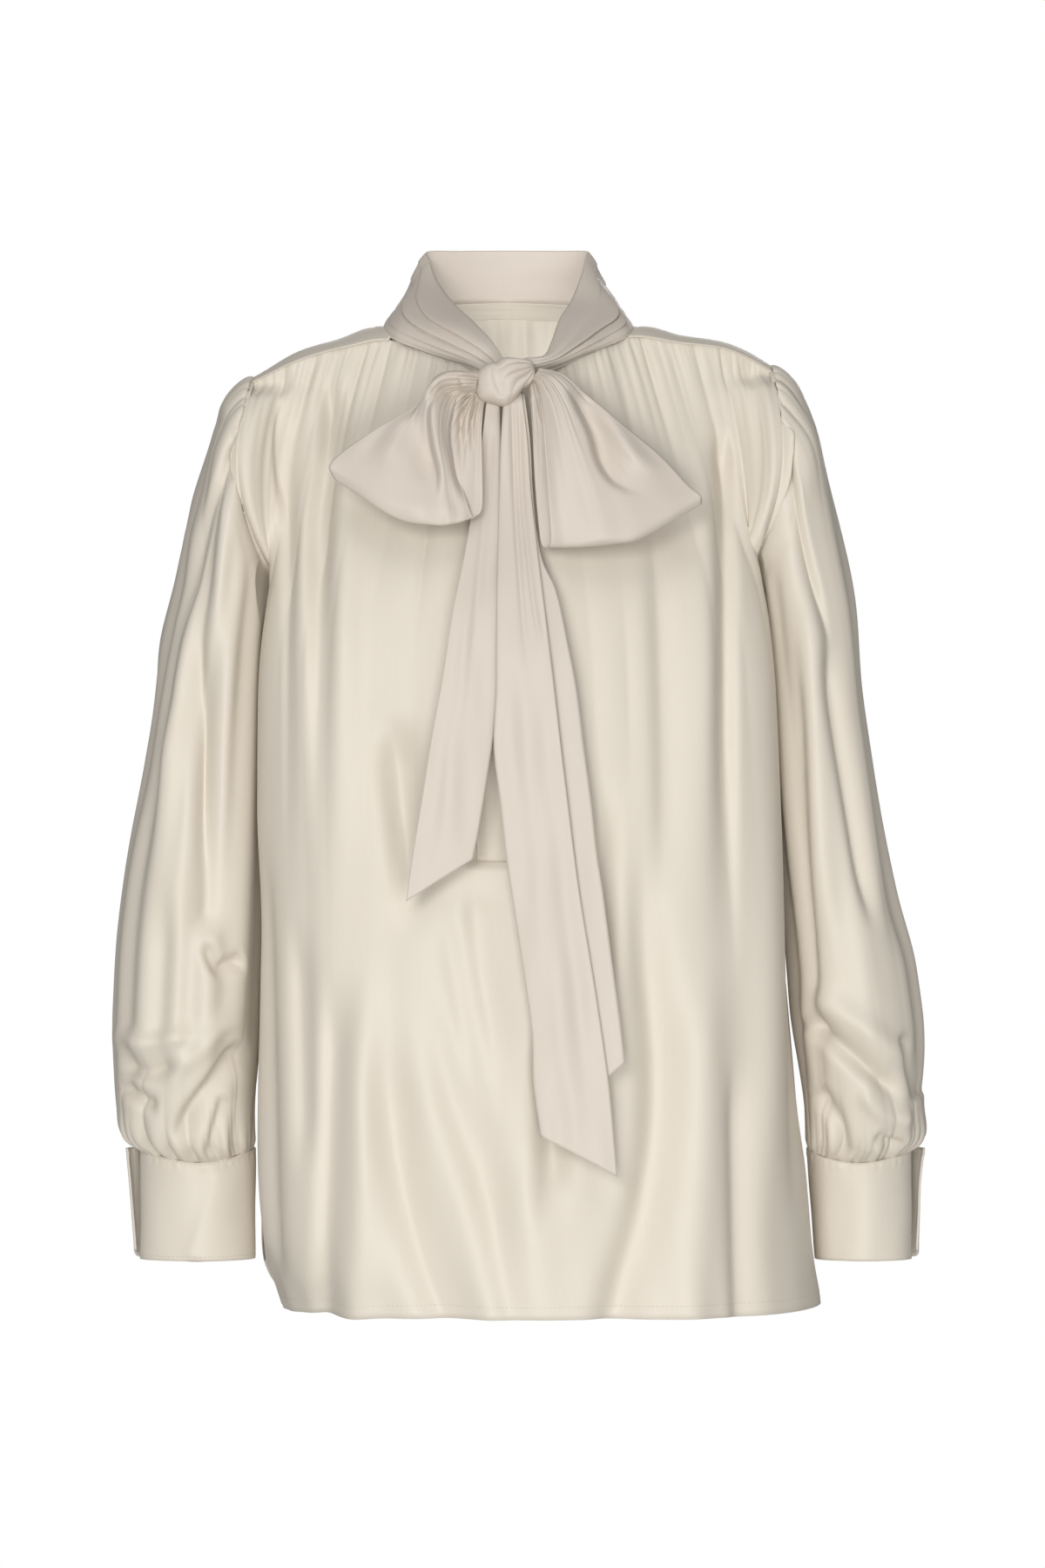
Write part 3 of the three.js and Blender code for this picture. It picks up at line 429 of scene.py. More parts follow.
def bodySurface(side, u, drop):
    # the panel's smooth form: u from the right side seam to the left, drop from its top to its hem
    top = frontTop(u) if side == "front" else yokeEdge(u, "bx by bz")
    low, = read(frontHem if side == "front" else backHem, "u", u, "z")
    z = lerp(top[..., 2], low, drop)
    fall = top[..., 2] - z
    loose = np.sin(math.pi / 2 * np.clip(fall / chestFall, 0, 1)) ** 0.9
    sx, sy = sectionPoint(u, z, side)
    x, y = lerp(top[..., 0], sx, loose), lerp(top[..., 1], sy, loose)
    for edge, hand, end in ((u, -1, 0.0), (1 - u, 1, 1.0)):
        t = np.clip((shoulderDrop - z) / (shoulderDrop - underarm), 0, 1)
        ax, ay, _ = armhole(t, side, hand)
        ends = np.full(z.shape, end)
        ex, ey = sectionPoint(ends, z, side)
        edgeTop = frontTop(ends) if side == "front" else yokeEdge(ends, "bx by bz")
        own = bell(edge, 0.075) * ease((t - 0.02) / 0.1) * (t < 1)
        x = x + own * (ax - lerp(edgeTop[..., 0], ex, loose))
        y = y + own * (ay - lerp(edgeTop[..., 1], ey, loose))
    return np.stack([x, y, z], axis=-1), fall


def shoulderLifted(grid):
    # the wearer's left shoulder sits higher than the right one
    outwards = ease((grid[..., 0] - leftLift["fromX"]) / leftLift["overX"])
    upwards = ease((grid[..., 2] - leftLift["fromZ"]) / leftLift["overZ"])
    lifted = grid.copy()
    lifted[..., 2] += leftLift["height"] * outwards * upwards
    return lifted


def gathers(u, fall, count, height, reach, seed, start=8.0):
    # count folds that stand up from a seam, with narrow troughs, and die away within reach
    drift = 0.55 * wobble(u * count / 9, seed=seed)
    lean = 0.0012 * fall * wobble(u * 5, seed=seed + 1)
    phase = count * u + drift + lean
    uneven = 0.75 + 0.35 * wobble(u * count / 3, fall / 160, seed=seed + 2)
    wave = 1.9 * np.abs(np.cos(math.pi * phase)) ** 0.75 - 1.2
    grow = 0.35 + 0.65 * ease(fall / start)
    return height * np.clip(uneven, 0.1, 1.6) * wave * grow * np.exp(-(fall / reach) ** 1.2)


def withEdges(grid, turns):
    # cloth turned under at its lowest edge: extra rows that lie inside the last one
    normals = normalsOf(grid)
    rows = [grid]
    for inward, up in turns:
        row = grid[-1] - normals[-1] * inward
        rows.append((row + np.array([0, 0, up]))[None])
    return np.concatenate(rows)


frontPanel = dict(
    columns=300, rows=190, out=1, seed=20,
    flat=(0.62, 0.72), area=0.42, span=(0.62, 0.69),
    # fine, middle and broad gathers: count, height, reach
    seamGathers=((92, 0.9, 18), (41, 1.2, 56), (17, 2.0, 180)),
    drape=1.1,
    # path in a front view (x, z), width, depth, how much wider on the path's left, fades
    folds=(
        ([(-161, -30), (-163, -60), (-163, -92), (-158, -130), (-155, -240), (-154, -437)],
         3.2, -6.5, 4.0, 0.25, 0.45),
        ([(-145, -80), (-144, -200), (-142, -420)], 10, 5, 1.0, 0.25, 0.4),
        ([(-128, -20), (-131, -75), (-135, -110), (-137, -142), (-133, -230), (-131, -378)],
         4.5, -10, 2.8, 0.1, 0.4),
        ([(-112, -60), (-116, -200), (-118, -430)], 12, 6, 1.0, 0.2, 0.4),
        ([(-176, -330), (-172, -500), (-168, -690)], 8, -6, 1.0, 0.3, 0.1),
        ([(-149, -400), (-146, -500), (-144, -600)], 6, -5, 1.8, 0.3, 0.3),
        ([(-122, -440), (-126, -560), (-132, -700)], 6, -6, 1.8, 0.3, 0.0),
        ([(-98, -430), (-100, -560), (-104, -700)], 12, 6, 1.0, 0.3, 0.0),
        ([(154, -60), (157, -110), (157, -220), (158, -330), (160, -470)], 12, -9, 0.32, 0.15, 0.4),
        ([(138, -50), (142, -180), (142, -420)], 13, 6, 1.0, 0.2, 0.4),
        ([(104, -120), (110, -260), (112, -420)], 9, -5, 1.4, 0.3, 0.3),
        ([(176, -90), (184, -300), (188, -640)], 12, 6, 1.0, 0.2, 0.2),
        ([(198, -250), (204, -420), (208, -640)], 7, -5, 1.0, 0.3, 0.2),
        ([(-80, -262), (-78, -310), (-72, -360), (-66, -430)], 10, -13, 1.7, 0.3, 0.4),
        ([(-14, -250), (-14, -320), (-13, -371)], 15, -9, 1.0, 0.6, 0.015),
        ([(-24, -384), (-19, -440), (-8, -500), (1, -563)], 8, -5, 1.8, 0.15, 0.5),
        ([(-44, -396), (-38, -440), (-26, -500), (-12, -560)], 8, -4, 1.6, 0.35, 0.5),
        ([(-94, -470), (-82, -560), (-62, -640), (-40, -700)], 12, -10, 2.0, 0.3, 0.0),
        ([(-58, -450), (-36, -540), (-8, -620), (6, -700)], 13, -9, 1.7, 0.35, 0.0),
        ([(26, -480), (30, -530), (30, -580), (24, -640)], 9, -10, 1.5, 0.3, 0.4),
        ([(96, -300), (98, -420), (106, -520), (98, -600), (70, -700)], 12, -12, 1.6, 0.35, 0.0),
        ([(64, -300), (66, -400), (60, -470)], 9, -8, 1.6, 0.3, 0.3),
        ([(20, -560), (10, -640), (6, -705)], 26, 9, 1.0, 0.4, 0.0),
        ([(136, -430), (134, -560), (130, -700)], 16, 7, 1.0, 0.3, 0.0),
        ([(160, -500), (162, -600), (164, -700)], 7, -6, 1.5, 0.3, 0.0),
    ))


backPanel = dict(
    columns=260, rows=150, out=-1, seed=70,
    flat=(0.62, 0.74), area=0.43, span=(0.62, 0.7),
    seamGathers=((44, 0.8, 26), (24, 1.8, 80), (12, 2.8, 200)),
    drape=1.8,
    folds=(
        ([(-128, -40), (-140, -700)], 12, -8, 1.4, 0.2, 0.0),
        ([(-92, -60), (-98, -660)], 18, 6, 1.0, 0.2, 0.1),
        ([(-50, 0), (-54, -300), (-60, -700)], 13, -8, 1.5, 0.25, 0.0),
        ([(-12, -20), (-6, -700)], 22, 7, 1.0, 0.25, 0.0),
        ([(36, 0), (42, -300), (46, -700)], 12, -9, 1.5, 0.25, 0.0),
        ([(82, -40), (92, -700)], 20, 6, 1.0, 0.2, 0.0),
        ([(122, -30), (140, -700)], 11, -8, 1.5, 0.2, 0.0),
    ))
hemTurns = ((0.7, -0.2), (0.9, 3), (0.9, 6))    # how far in and up each row of the turned hem lies
hemSeamRow = -3      # the row with the stitches, 9 mm above the front's edge and 12 above the back's


def panelGrid(side, settings):
    u, s = np.meshgrid(np.linspace(0, 1, settings["columns"]), np.linspace(0, 1, settings["rows"]))
    grid, fall = bodySurface(side, u, s ** 1.25)
    height = creases(grid[..., 0], grid[..., 2], settings["folds"])
    for k, (count, tall, reach) in enumerate(settings["seamGathers"]):
        height = height + gathers(u, fall, count, tall, reach, settings["seed"] + 5 * k, 4 + 9 * k)
    hang = settings["drape"] * ease(fall / 220)
    height = height + hang * wobble(u * 9, fall / 1400, seed=61 + settings["out"])
    height = height + 0.25 * hang * wobble(u * 27, fall / 900, seed=66 + settings["out"])
    calm = 0.3 + 0.7 * ease(u / 0.02) * ease((1 - u) / 0.02)    # less beside the side seams
    return shoulderLifted(pushed(grid, height * calm * settings["out"]))


def makePanel(side, settings):
    grid = panelGrid(side, settings)
    turns = [(inward * settings["out"], up) for inward, up in hemTurns]
    panel = clothMesh(f"{side}Panel", withEdges(grid, turns), bodySatin, settings["span"])
    seated(panel, "satin", f"{side}_panel")
    hemSeam = (grid[hemSeamRow], settings["out"] * normalsOf(grid)[hemSeamRow])
    seated(stitched(f"{side}HemStitches", [hemSeam], seamThread), "satin")
    print(f"{side} panel made")
    return grid


frontGrid = makePanel("front", frontPanel)
makePanel("back", backPanel)


# Yoke

yokeForm = dict(
    columns=260, rows=30,
    neckEnds=0.58,       # the share of each half where the neck ends and the front seam begins
    neckSeam=0.245,      # where that is along the front seam, from its middle
    overlap=0.02)        # how far it lies over the panels, as a share of its width


def yokeSurface(a, u):
    # u goes round behind the neck, a from the neck's edge to the panels' seam
    b = np.abs(u - 0.5) * 2
    forward = np.clip((b - yokeForm["neckEnds"]) / (1 - yokeForm["neckEnds"]), 0, 1)
    seam = frontTop(0.5 + np.sign(u - 0.5) * lerp(yokeForm["neckSeam"], 0.5, forward))
    neck = np.where((b < yokeForm["neckEnds"])[..., None], yokeEdge(u, "nx ny nz"), seam)
    grid = lerp(neck, yokeEdge(u, "bx by bz"), a[..., None])
    rise, = read(yokeHalf, "b", b, "rise")
    grid[..., 2] += 4 * a * (1 - a) * rise
    return grid


def yokeGrid():
    widths = np.linspace(-yokeForm["overlap"], 1 + yokeForm["overlap"], yokeForm["rows"])
    u, a = np.meshgrid(np.linspace(0.0, 1.0, yokeForm["columns"]), widths)
    grid = yokeSurface(a, u)
    b = np.abs(u - 0.5) * 2
    out = 0.9 + 0.5 * wobble(u * 9, a * 2, seed=3) * np.sin(math.pi * np.clip(a, 0, 1))
    return shoulderLifted(pushed(grid, -out * 0.8 * np.where(b < 0.5, 0.5, 1.0)))


yoke = clothMesh("shoulderYoke", yokeGrid(), bodySatin, (0.52, 0.08), thickness=wall["body"])
seated(yoke, "satin", "shoulder_yoke")
print("yoke made")


# Sleeves

sleeveForm = dict(
    headFoot=-172.0, cuff=-578.0,      # where the head ends and where the cuff begins
    headLength=110.0,                  # along the cloth
    middleY=5.0, clear=1.8, clearAtUnderarm=6)    # clear is how far it stays off the body's side
# a section at each height of the right sleeve, -1, and the left sleeve, 1
sleeveTables = {
    -1: table("z outer inner front back",
              (-172, -237, -168, -66, 74), (-242, -253, -171, -67, 77), (-331, -267, -173, -67, 79),
              (-419, -279, -176, -65, 78), (-478, -282.5, -179, -62, 75), (-520, -283.5, -181, -57, 69),
              (-548, -283, -183, -49, 61), (-568, -280, -183.5, -40, 50), (-578, -268, -184.5, -25, 34)),
    1: table("z outer inner front back",
             (-172, 243, 181, -66, 74), (-242, 256, 187, -67, 77), (-331, 271, 193, -67, 79),
             (-419, 287, 202, -65, 78), (-478, 296, 207, -62, 75), (-520, 300, 212, -57, 69),
             (-548, 301.5, 215, -49, 61), (-568, 302, 216.6, -40, 50), (-578, 293, 217.6, -25, 34)),
}
sleeveHead = table("k out z", (0, 0, -21), (0.2, 9, -23), (0.4, 20, -38), (0.6, 30.5, -63),
                   (0.8, 38, -105), (1, 51, -172))


def bodySide(y, z, hand):
    reachFront, reachBack, right, left, pressRight, pressLeft = read(
        bodySections, "z", z, "front back right left pressRight pressLeft")
    reach = np.where(y < sideSeam, reachFront, reachBack) - sideSeam
    depth = np.clip((y - sideSeam) / reach, 0, 1) ** (sectionPower / 2)
    across = np.sqrt(1 - depth ** 2) ** (2 / sectionPower)
    press = (pressRight if hand < 0 else pressLeft) * bell(y, pressReach)
    return (left + right) / 2 + hand * ((left - right) / 2 - press) * across


def sleeveSurface(hand, psi, w):
    # psi goes round from the outer edge by the front; w is 0 to 1 in the head and 1 to 2 below it
    form = sleeveTables[hand]
    k, below = np.clip(w, 0, 1), np.clip(w - 1, 0, 1)
    z = lerp(sleeveForm["headFoot"], sleeveForm["cuff"], below)
    angle = 2 * math.pi * psi
    t = (1 - np.cos(angle)) / 2
    side = np.where(np.sin(angle) > 0, "front", "back")
    ax, ay, az = armhole(t, side, hand)
    seam = np.stack([ax + hand * (0.9 + 2.5 * t ** 3), ay, az - 0.4 * t], axis=-1)
    outer, inner, frontReach, backReach = read(form, "z", z, "outer inner front back")
    headOut, headZ = read(sleeveHead, "k", k, "out z")
    shoulder = shoulderHalf + hand * shoulderShift
    top = hand * (shoulder + headOut * (form["outer"][0] * hand - shoulder) / sleeveHead["out"][-1])
    outer = np.where(below > 0, outer, top)
    inner = np.where(below > 0, inner, lerp(seam[..., 0], form["inner"][0], k))
    reach = np.where(side == "front", frontReach, backReach)
    outerZ = np.where(below > 0, z, headZ)
    innerZ = np.where(below > 0, z - 6 * np.exp(-12 * below), underarm - 6 * k)
    y = lerp(sleeveForm["middleY"], reach, np.abs(np.sin(angle)) ** 0.9)
    full = np.stack([lerp(outer, inner, t), y, lerp(outerZ, innerZ, t)], axis=-1)
    share = np.where(below > 0, 1.0, ease(k * lerp(2.6, 1.15, t)))[..., None]
    return lerp(seam, full, share), t, angle


cuffDip = dict(depth=9, halfWidth=34, middle={-1: -222, 1: 252}, top=-520, toSeam=58,
               foot=-656, fromFoot=70)


def cuffLowered(grid, hand):
    # the seam of a cuff dips across its front
    x, y, z = (grid[..., k] for k in range(3))
    near = ease((cuffDip["top"] - z) / cuffDip["toSeam"])
    near = near * ease((z - cuffDip["foot"]) / cuffDip["fromFoot"]) * ease((8 - y) / 26)
    lowered = grid.copy()
    lowered[..., 2] -= cuffDip["depth"] * near * bell(x - cuffDip["middle"][hand], cuffDip["halfWidth"])
    return lowered


def sleeveGrid(hand, settings):
    columns, rows = settings["columns"], settings["rows"]
    # rows are closer together by the cuff, where the finest gathers are
    down = 2 - 2 * np.linspace(1, 0, rows) ** 1.25
    psi, w = np.meshgrid((np.arange(columns) + 0.5) / columns, down)
    grid, t, angle = sleeveSurface(hand, psi, w)
    x, y, z = (grid[..., k].copy() for k in range(3))
    frontness = ease(0.5 + 2 * np.sin(angle))
    out = creases(x, z, settings["frontFolds"]) * frontness
    out = out + creases(x, z, settings["backFolds"]) * (1 - frontness)
    fromHead = w * sleeveForm["headLength"]
    head = bell(t, 0.45)
    out = out + head * gathers(psi, fromHead, 34, 1.4, 26, 71 + hand)
    out = out + head * gathers(psi, fromHead, 15, 2.2, 75, 81 + hand, 20)
    hang = ease((w - 0.6) / 0.5) * ease((1.95 - w) / 0.2)
    around, along = 1.7 * np.cos(angle), 1.7 * np.sin(angle) + 0.2 * w
    out = out + settings["drape"] * hang * wobble(around, along, seed=74 + hand)
    fromCuff = np.maximum(z - sleeveForm["cuff"], 0)
    for count, height, reach, seed in settings["cuffGathers"]:
        out = out + gathers(psi, fromCuff, count, height, reach, seed + hand, 6)
    grid = grid + normalsOf(grid, ring=True) * (out * ease(w / 0.08))[..., None] * -hand
    # the inner side stays clear of the body
    clear = bodySide(grid[..., 1], grid[..., 2], hand) * hand + sleeveForm["clear"]
    clear = clear + sleeveForm["clearAtUnderarm"] * bell(grid[..., 2] + 165, 30)
    guard = (w > 0.05) & (t > 0.55) & (grid[..., 2] < -120)
    grid[..., 0] = np.where(guard, hand * np.maximum(grid[..., 0] * hand, clear), grid[..., 0])
    # a row tucked in under the armhole, and one turned in under the cuff
    inward = grid[:1].copy()
    inward[..., 0] -= hand * 3
    turned = grid[-1:].copy()
    middle = turned.mean(axis=1, keepdims=True)
    turned[..., :2] = lerp(turned[..., :2], middle[..., :2], 0.06)
    turned[..., 2] -= 2
    return cuffLowered(shoulderLifted(np.concatenate([inward, grid, turned])), hand)


rightSleeve = dict(
    columns=310, rows=220, drape=2.2,
    cuffGathers=((27, 2.3, 14, 91), (15, 3.2, 26, 95), (8, 2.4, 60, 98)),
    frontFolds=(
        ([(-194, -62), (-208, -102), (-221, -138), (-231, -172), (-240, -215)], 2.4, -7, 6.0, 0.12, 0.3),
        ([(-199, -90), (-203, -180), (-203, -300)], 8, 6, 1.0, 0.2, 0.4),
        ([(-222, -190), (-219, -252), (-213, -330), (-210, -385), (-214, -432)], 9, -12, 1.0, 0.3, 0.15),
        ([(-216, -424), (-206, -446), (-188, -441)], 5, -8, 1.0, 0.25, 0.1),
        ([(-232, -120), (-248, -190), (-258, -290), (-262, -400)], 9, -5, 1.5, 0.3, 0.3),
        ([(-236, -250), (-240, -340), (-244, -440)], 10, 6, 1.0, 0.3, 0.3),
        ([(-208, -40), (-222, -80), (-236, -140)], 5, -4, 1.6, 0.2, 0.3),
        ([(-284, -492), (-262, -500), (-238, -496), (-212, -490)], 7, 6, 1.0, 0.2, 0.3),
        ([(-280, -516), (-256, -522), (-230, -514)], 5, -7, 1.6, 0.2, 0.3),
        ([(-188, -499), (-206, -522), (-228, -548), (-240, -566)], 4.5, -10, 2.2, 0.15, 0.3),
        ([(-190, -474), (-216, -500), (-250, -530)], 8, 5, 1.0, 0.25, 0.3),
        ([(-280, -530), (-264, -541), (-248, -546)], 4, -7, 1.5, 0.2, 0.3),
        ([(-200, -535), (-208, -556), (-214, -574)], 4, -5, 1.4, 0.2, 0.1),
    ),
    backFolds=(
        ([(-200, -80), (-220, -220), (-235, -420)], 10, -11, 1.8, 0.2, 0.35),
        ([(-216, -60), (-244, -200), (-256, -400)], 11, 6, 1.0, 0.2, 0.3),
        ([(-250, -200), (-262, -480)], 10, -8, 1.4, 0.3, 0.3),
        ([(-190, -470), (-225, -530), (-262, -556)], 6, -9, 1.8, 0.2, 0.2),
        ([(-196, -440), (-232, -490), (-276, -520)], 8, 6, 1.0, 0.2, 0.3),
    ))
leftSleeve = dict(
    columns=310, rows=220, drape=2.2,
    cuffGathers=((27, 2.3, 14, 131), (15, 3.2, 26, 135), (8, 2.4, 60, 138)),
    frontFolds=(
        ([(194, -60), (201, -84), (211, -134), (222, -176), (232, -222)], 14, -8, 0.18, 0.12, 0.3),
        ([(226, -202), (234, -260), (245, -319), (255, -378), (264, -425)], 7, -11, 1.0, 0.25, 0.3),
        ([(214, -150), (218, -240), (224, -360), (232, -450)], 9, 6, 1.0, 0.25, 0.3),
        ([(206, -44), (222, -100), (238, -170), (254, -270)], 8, 5, 1.0, 0.2, 0.3),
        ([(246, -150), (262, -260), (276, -380), (286, -450)], 8, -6, 1.4, 0.3, 0.3),
        ([(206, -200), (209, -300), (214, -420), (217, -480)], 6, -6, 1.0, 0.3, 0.2),
        ([(211, -482), (243, -510), (284, -540)], 4.2, -10, 2.0, 0.15, 0.2),
        ([(214, -460), (250, -486), (290, -518)], 9, 5, 1.0, 0.25, 0.2),
        ([(282, -492), (290, -516), (297, -542)], 4.5, -8, 1.3, 0.2, 0.1),
        ([(218, -532), (234, -552), (244, -576)], 4, -7, 1.6, 0.2, 0.1),
        ([(250, -530), (270, -548), (292, -556)], 6, 5, 1.0, 0.2, 0.2),
        ([(262, -560), (274, -568), (288, -572)], 3.5, -5, 1.2, 0.2, 0.2),
    ),
    backFolds=(
        ([(205, -80), (228, -220), (248, -420)], 10, -11, 1.8, 0.2, 0.35),
        ([(218, -60), (252, -200), (268, -400)], 11, 6, 1.0, 0.2, 0.3),
        ([(252, -180), (276, -460)], 10, -8, 1.4, 0.3, 0.3),
        ([(222, -480), (250, -530), (288, -556)], 6, -9, 1.8, 0.2, 0.2),
        ([(226, -450), (256, -490), (294, -520)], 8, 6, 1.0, 0.2, 0.3),
    ))
slitTop = -505.0
for side, hand, settings in (("right", -1, rightSleeve), ("left", 1, leftSleeve)):
    grid = sleeveGrid(hand, settings)
    keep = np.ones((grid.shape[0] - 1, grid.shape[1]), bool)
    keep[grid[1:, 0, 2] < slitTop, -1] = False
    sleeve = clothMesh(f"{side}Sleeve", grid, bodySatin, (0.42, 0.6), ring=True, keep=keep)
    seated(sleeve, "satin", f"sleeve_{side}")
print("sleeves made")


# Cuffs

cuffs = {
    "right": dict(outer=-266.5, inner=-183.5, top=-578.2, low=-658, lean=0, hand=-1, creases=(
        ([(-207, -580), (-214, -612), (-228, -658)], 6, 1.8, 4.0, 0.15, 0.05),)),
    "left": dict(outer=292, inner=217, top=-578.2, low=-658, lean=6, hand=1, creases=(
        ([(238, -580), (240, -620), (243, -658)], 16, 1.0, 1.0, 0.3, 0.2),)),
}


cuffForm = dict(columns=170, rows=36, start=0.04, end=1.035, middleY=4, depth=29.5)
# where the rows of stitches run, as shares of the turn round the arm and the drop to the edge
cuffStitches = dict(lift=0.85, top=0.02, low=0.96, end=0.052)


def cuffGrid(cuff, turn, drop, lift=0.0):
    # turn goes from the band's front end by the arm's inner side to the end that lies behind it
    angle = 2 * math.pi * turn
    half, centre = (cuff["outer"] - cuff["inner"]) / 2, (cuff["outer"] + cuff["inner"]) / 2
    tucked, past = ease((turn - 0.84) / 0.15), ease((turn - 0.95) / 0.08)
    behind = 3 * tucked + (1 + 5.5 * (1 - drop) ** 1.3) * past
    inward = cuff["lean"] * drop * lerp(0.2, 1, ease((1 - np.cos(angle)) / 2))
    x = centre + half * np.cos(angle) + cuff["hand"] * (behind + inward)
    y = cuffForm["middleY"] - cuffForm["depth"] * np.sin(angle) + 3 * tucked
    low = cuff["low"] + 6 * past
    grid = np.stack([x, y, lerp(cuff["top"], low, drop)], axis=-1)
    out = lift + 0.5 * wobble(turn * 5, drop * 1.2, seed=41 + cuff["hand"])
    out = out + creases(grid[..., 0], grid[..., 2], cuff["creases"]) * ease((4 - y) / 12)
    out = out - 0.35 * bell(drop - 0.05, 0.025) * (1 + wobble(turn * 40, seed=44))
    return cuffLowered(pushed(grid, out), cuff["hand"])


def cuffSeam(cuff, turn, drop):
    # a row of stitches on the band's outside, round it or, at one turn, down it
    near = np.array([-0.004, 0.0, 0.004])
    if np.ndim(turn):
        turns, drops = np.meshgrid(turn, drop + near)
        middle = np.s_[1]
    else:
        turns, drops = np.meshgrid(turn + near, drop)
        middle = np.s_[:, 1]
    grid = cuffGrid(cuff, turns, drops, cuffStitches["lift"])
    return grid[middle], normalsOf(grid)[middle]


for side, cuff in cuffs.items():
    around = np.linspace(cuffForm["start"], cuffForm["end"], cuffForm["columns"])
    turn, drop = np.meshgrid(around, np.linspace(0, 1, cuffForm["rows"]))
    piece = clothMesh(f"{side}Cuff", cuffGrid(cuff, turn, drop), bodySatin, (0.21, 0.08),
                      thickness=wall["cuff"])
    seated(piece, "satin", f"cuff_{side}")
    around, along = np.linspace(0.045, 1.03, 220), np.linspace(0.04, 0.96, 60)
    seams = [cuffSeam(cuff, around, cuffStitches["top"]), cuffSeam(cuff, around, cuffStitches["low"]),
             cuffSeam(cuff, cuffStitches["end"], along)]
    seated(stitched(f"{side}CuffStitches", seams, seamThread), "satin")
print("cuffs made")


# Placket

# the rows and columns of the front panel that it lies on, and how far it stands off them
placketStrip = dict(firstRow=4, columns=(134, 148), foot=-372, footColumn=130, forward=1.2)


def placketGrid(strip):
    heights = frontGrid[:, strip["footColumn"], 2]
    under = [i for i in range(strip["firstRow"], len(heights)) if heights[i] > strip["foot"]]
    first, last = strip["columns"]
    return frontGrid[under[0]:under[-1], first:last] - np.array([0, strip["forward"], 0])


placket = clothMesh("frontPlacket", placketGrid(placketStrip), bodySatin, (0.024, 0.34),
                    thickness=wall["body"])
seated(placket, "satin", "front_placket")
print("placket made")


# Collar

collarTop = table(
    "s x y z",
    (0, -0.7, -88, -16.8), (0.06, -11.4, -74, -0.1), (0.12, -24.3, -54, 15), (0.18, -35.9, -30, 27.6),
    (0.24, -45.6, -6, 40.6), (0.31, -52.8, 14, 53.4), (0.38, -57.1, 33, 67), (0.43, -57.6, 46, 74.6),
    (0.465, -34, 54, 75.6), (0.5, 0, 57, 76), (0.535, 34, 54, 75.6), (0.57, 56.7, 46, 74.8),
    (0.62, 56.7, 34, 69.2), (0.69, 52.9, 12, 53.1), (0.76, 45.8, -10, 34.3), (0.82, 37.2, -36, 18.3),
    (0.88, 31.5, -64, 0.5), (0.94, 25.6, -82, -11.5), (1, 12, -92, -14))
collarFoot = table(
    "s x y z",
    (0, -14, -92, -24), (0.06, -30, -74.5, -17), (0.12, -48, -65, -11.2), (0.18, -64, -55, -4.7),
    (0.24, -79, -43, 2), (0.31, -88, -20, 10), (0.38, -87, 6, 19), (0.43, -76, 36, 29),
    (0.465, -44, 57, 36.5), (0.5, 0, 62.5, 39.5), (0.535, 44, 57, 36.5), (0.57, 76, 36, 29),
    (0.62, 87, 6, 19), (0.69, 90, -20, 11), (0.76, 84, -40, 4.5), (0.82, 70, -52, -2.5),
    (0.88, 53, -65, -9.5), (0.94, 34, -78, -18.5), (1, 12, -92, -26))
collarTiers = table(
    "s swell first second third firstStep secondStep thirdStep",
    (0, 1, 0.35, 0.62, 0.82, 0.8, 0.8, 0.2), (0.06, 4, 0.35, 0.62, 0.82, 2.6, 2.2, 0.6),
    (0.12, 6.5, 0.34, 0.6, 0.8, 3.6, 3.4, 1.8), (0.18, 8, 0.34, 0.58, 0.8, 3.6, 3.8, 2.0),
    (0.24, 7, 0.27, 0.52, 0.8, 3.0, 3.4, 1.4), (0.31, 1.5, 0.2, 0.42, 0.8, 2.0, 2.2, 1),
    (0.38, -2.5, 0.15, 0.4, 0.8, 0.8, 1.0, 0.6), (0.44, 0, 0.15, 0.42, 0.8, 0.6, 0.8, 0.5),
    (0.5, 3, 0.15, 0.45, 0.8, 0.6, 0.8, 0.5), (0.56, 0, 0.18, 0.46, 0.8, 0.6, 1.0, 0.5),
    (0.62, -2.5, 0.2, 0.48, 0.78, 0.6, 1.4, 0.6), (0.69, 0.5, 0.25, 0.5, 0.74, 0.6, 2.8, 1.4),
    (0.76, 6, 0.25, 0.55, 0.74, 0.4, 3.8, 2), (0.82, 7, 0.25, 0.52, 0.74, 0.4, 3.8, 2),
    (0.88, 6, 0.25, 0.5, 0.74, 0.4, 3.2, 1.4), (1, 1, 0.25, 0.5, 0.74, 0.2, 0.8, 0.2))


def tier(v, start, end, step):
    # cloth that rises towards an edge and drops behind it, where one fold lies over the next
    rise = ease((v - start) / (end - start)) ** 0.8
    return step * np.where(v < end, rise, 1 - ease((v - end) / 0.035))


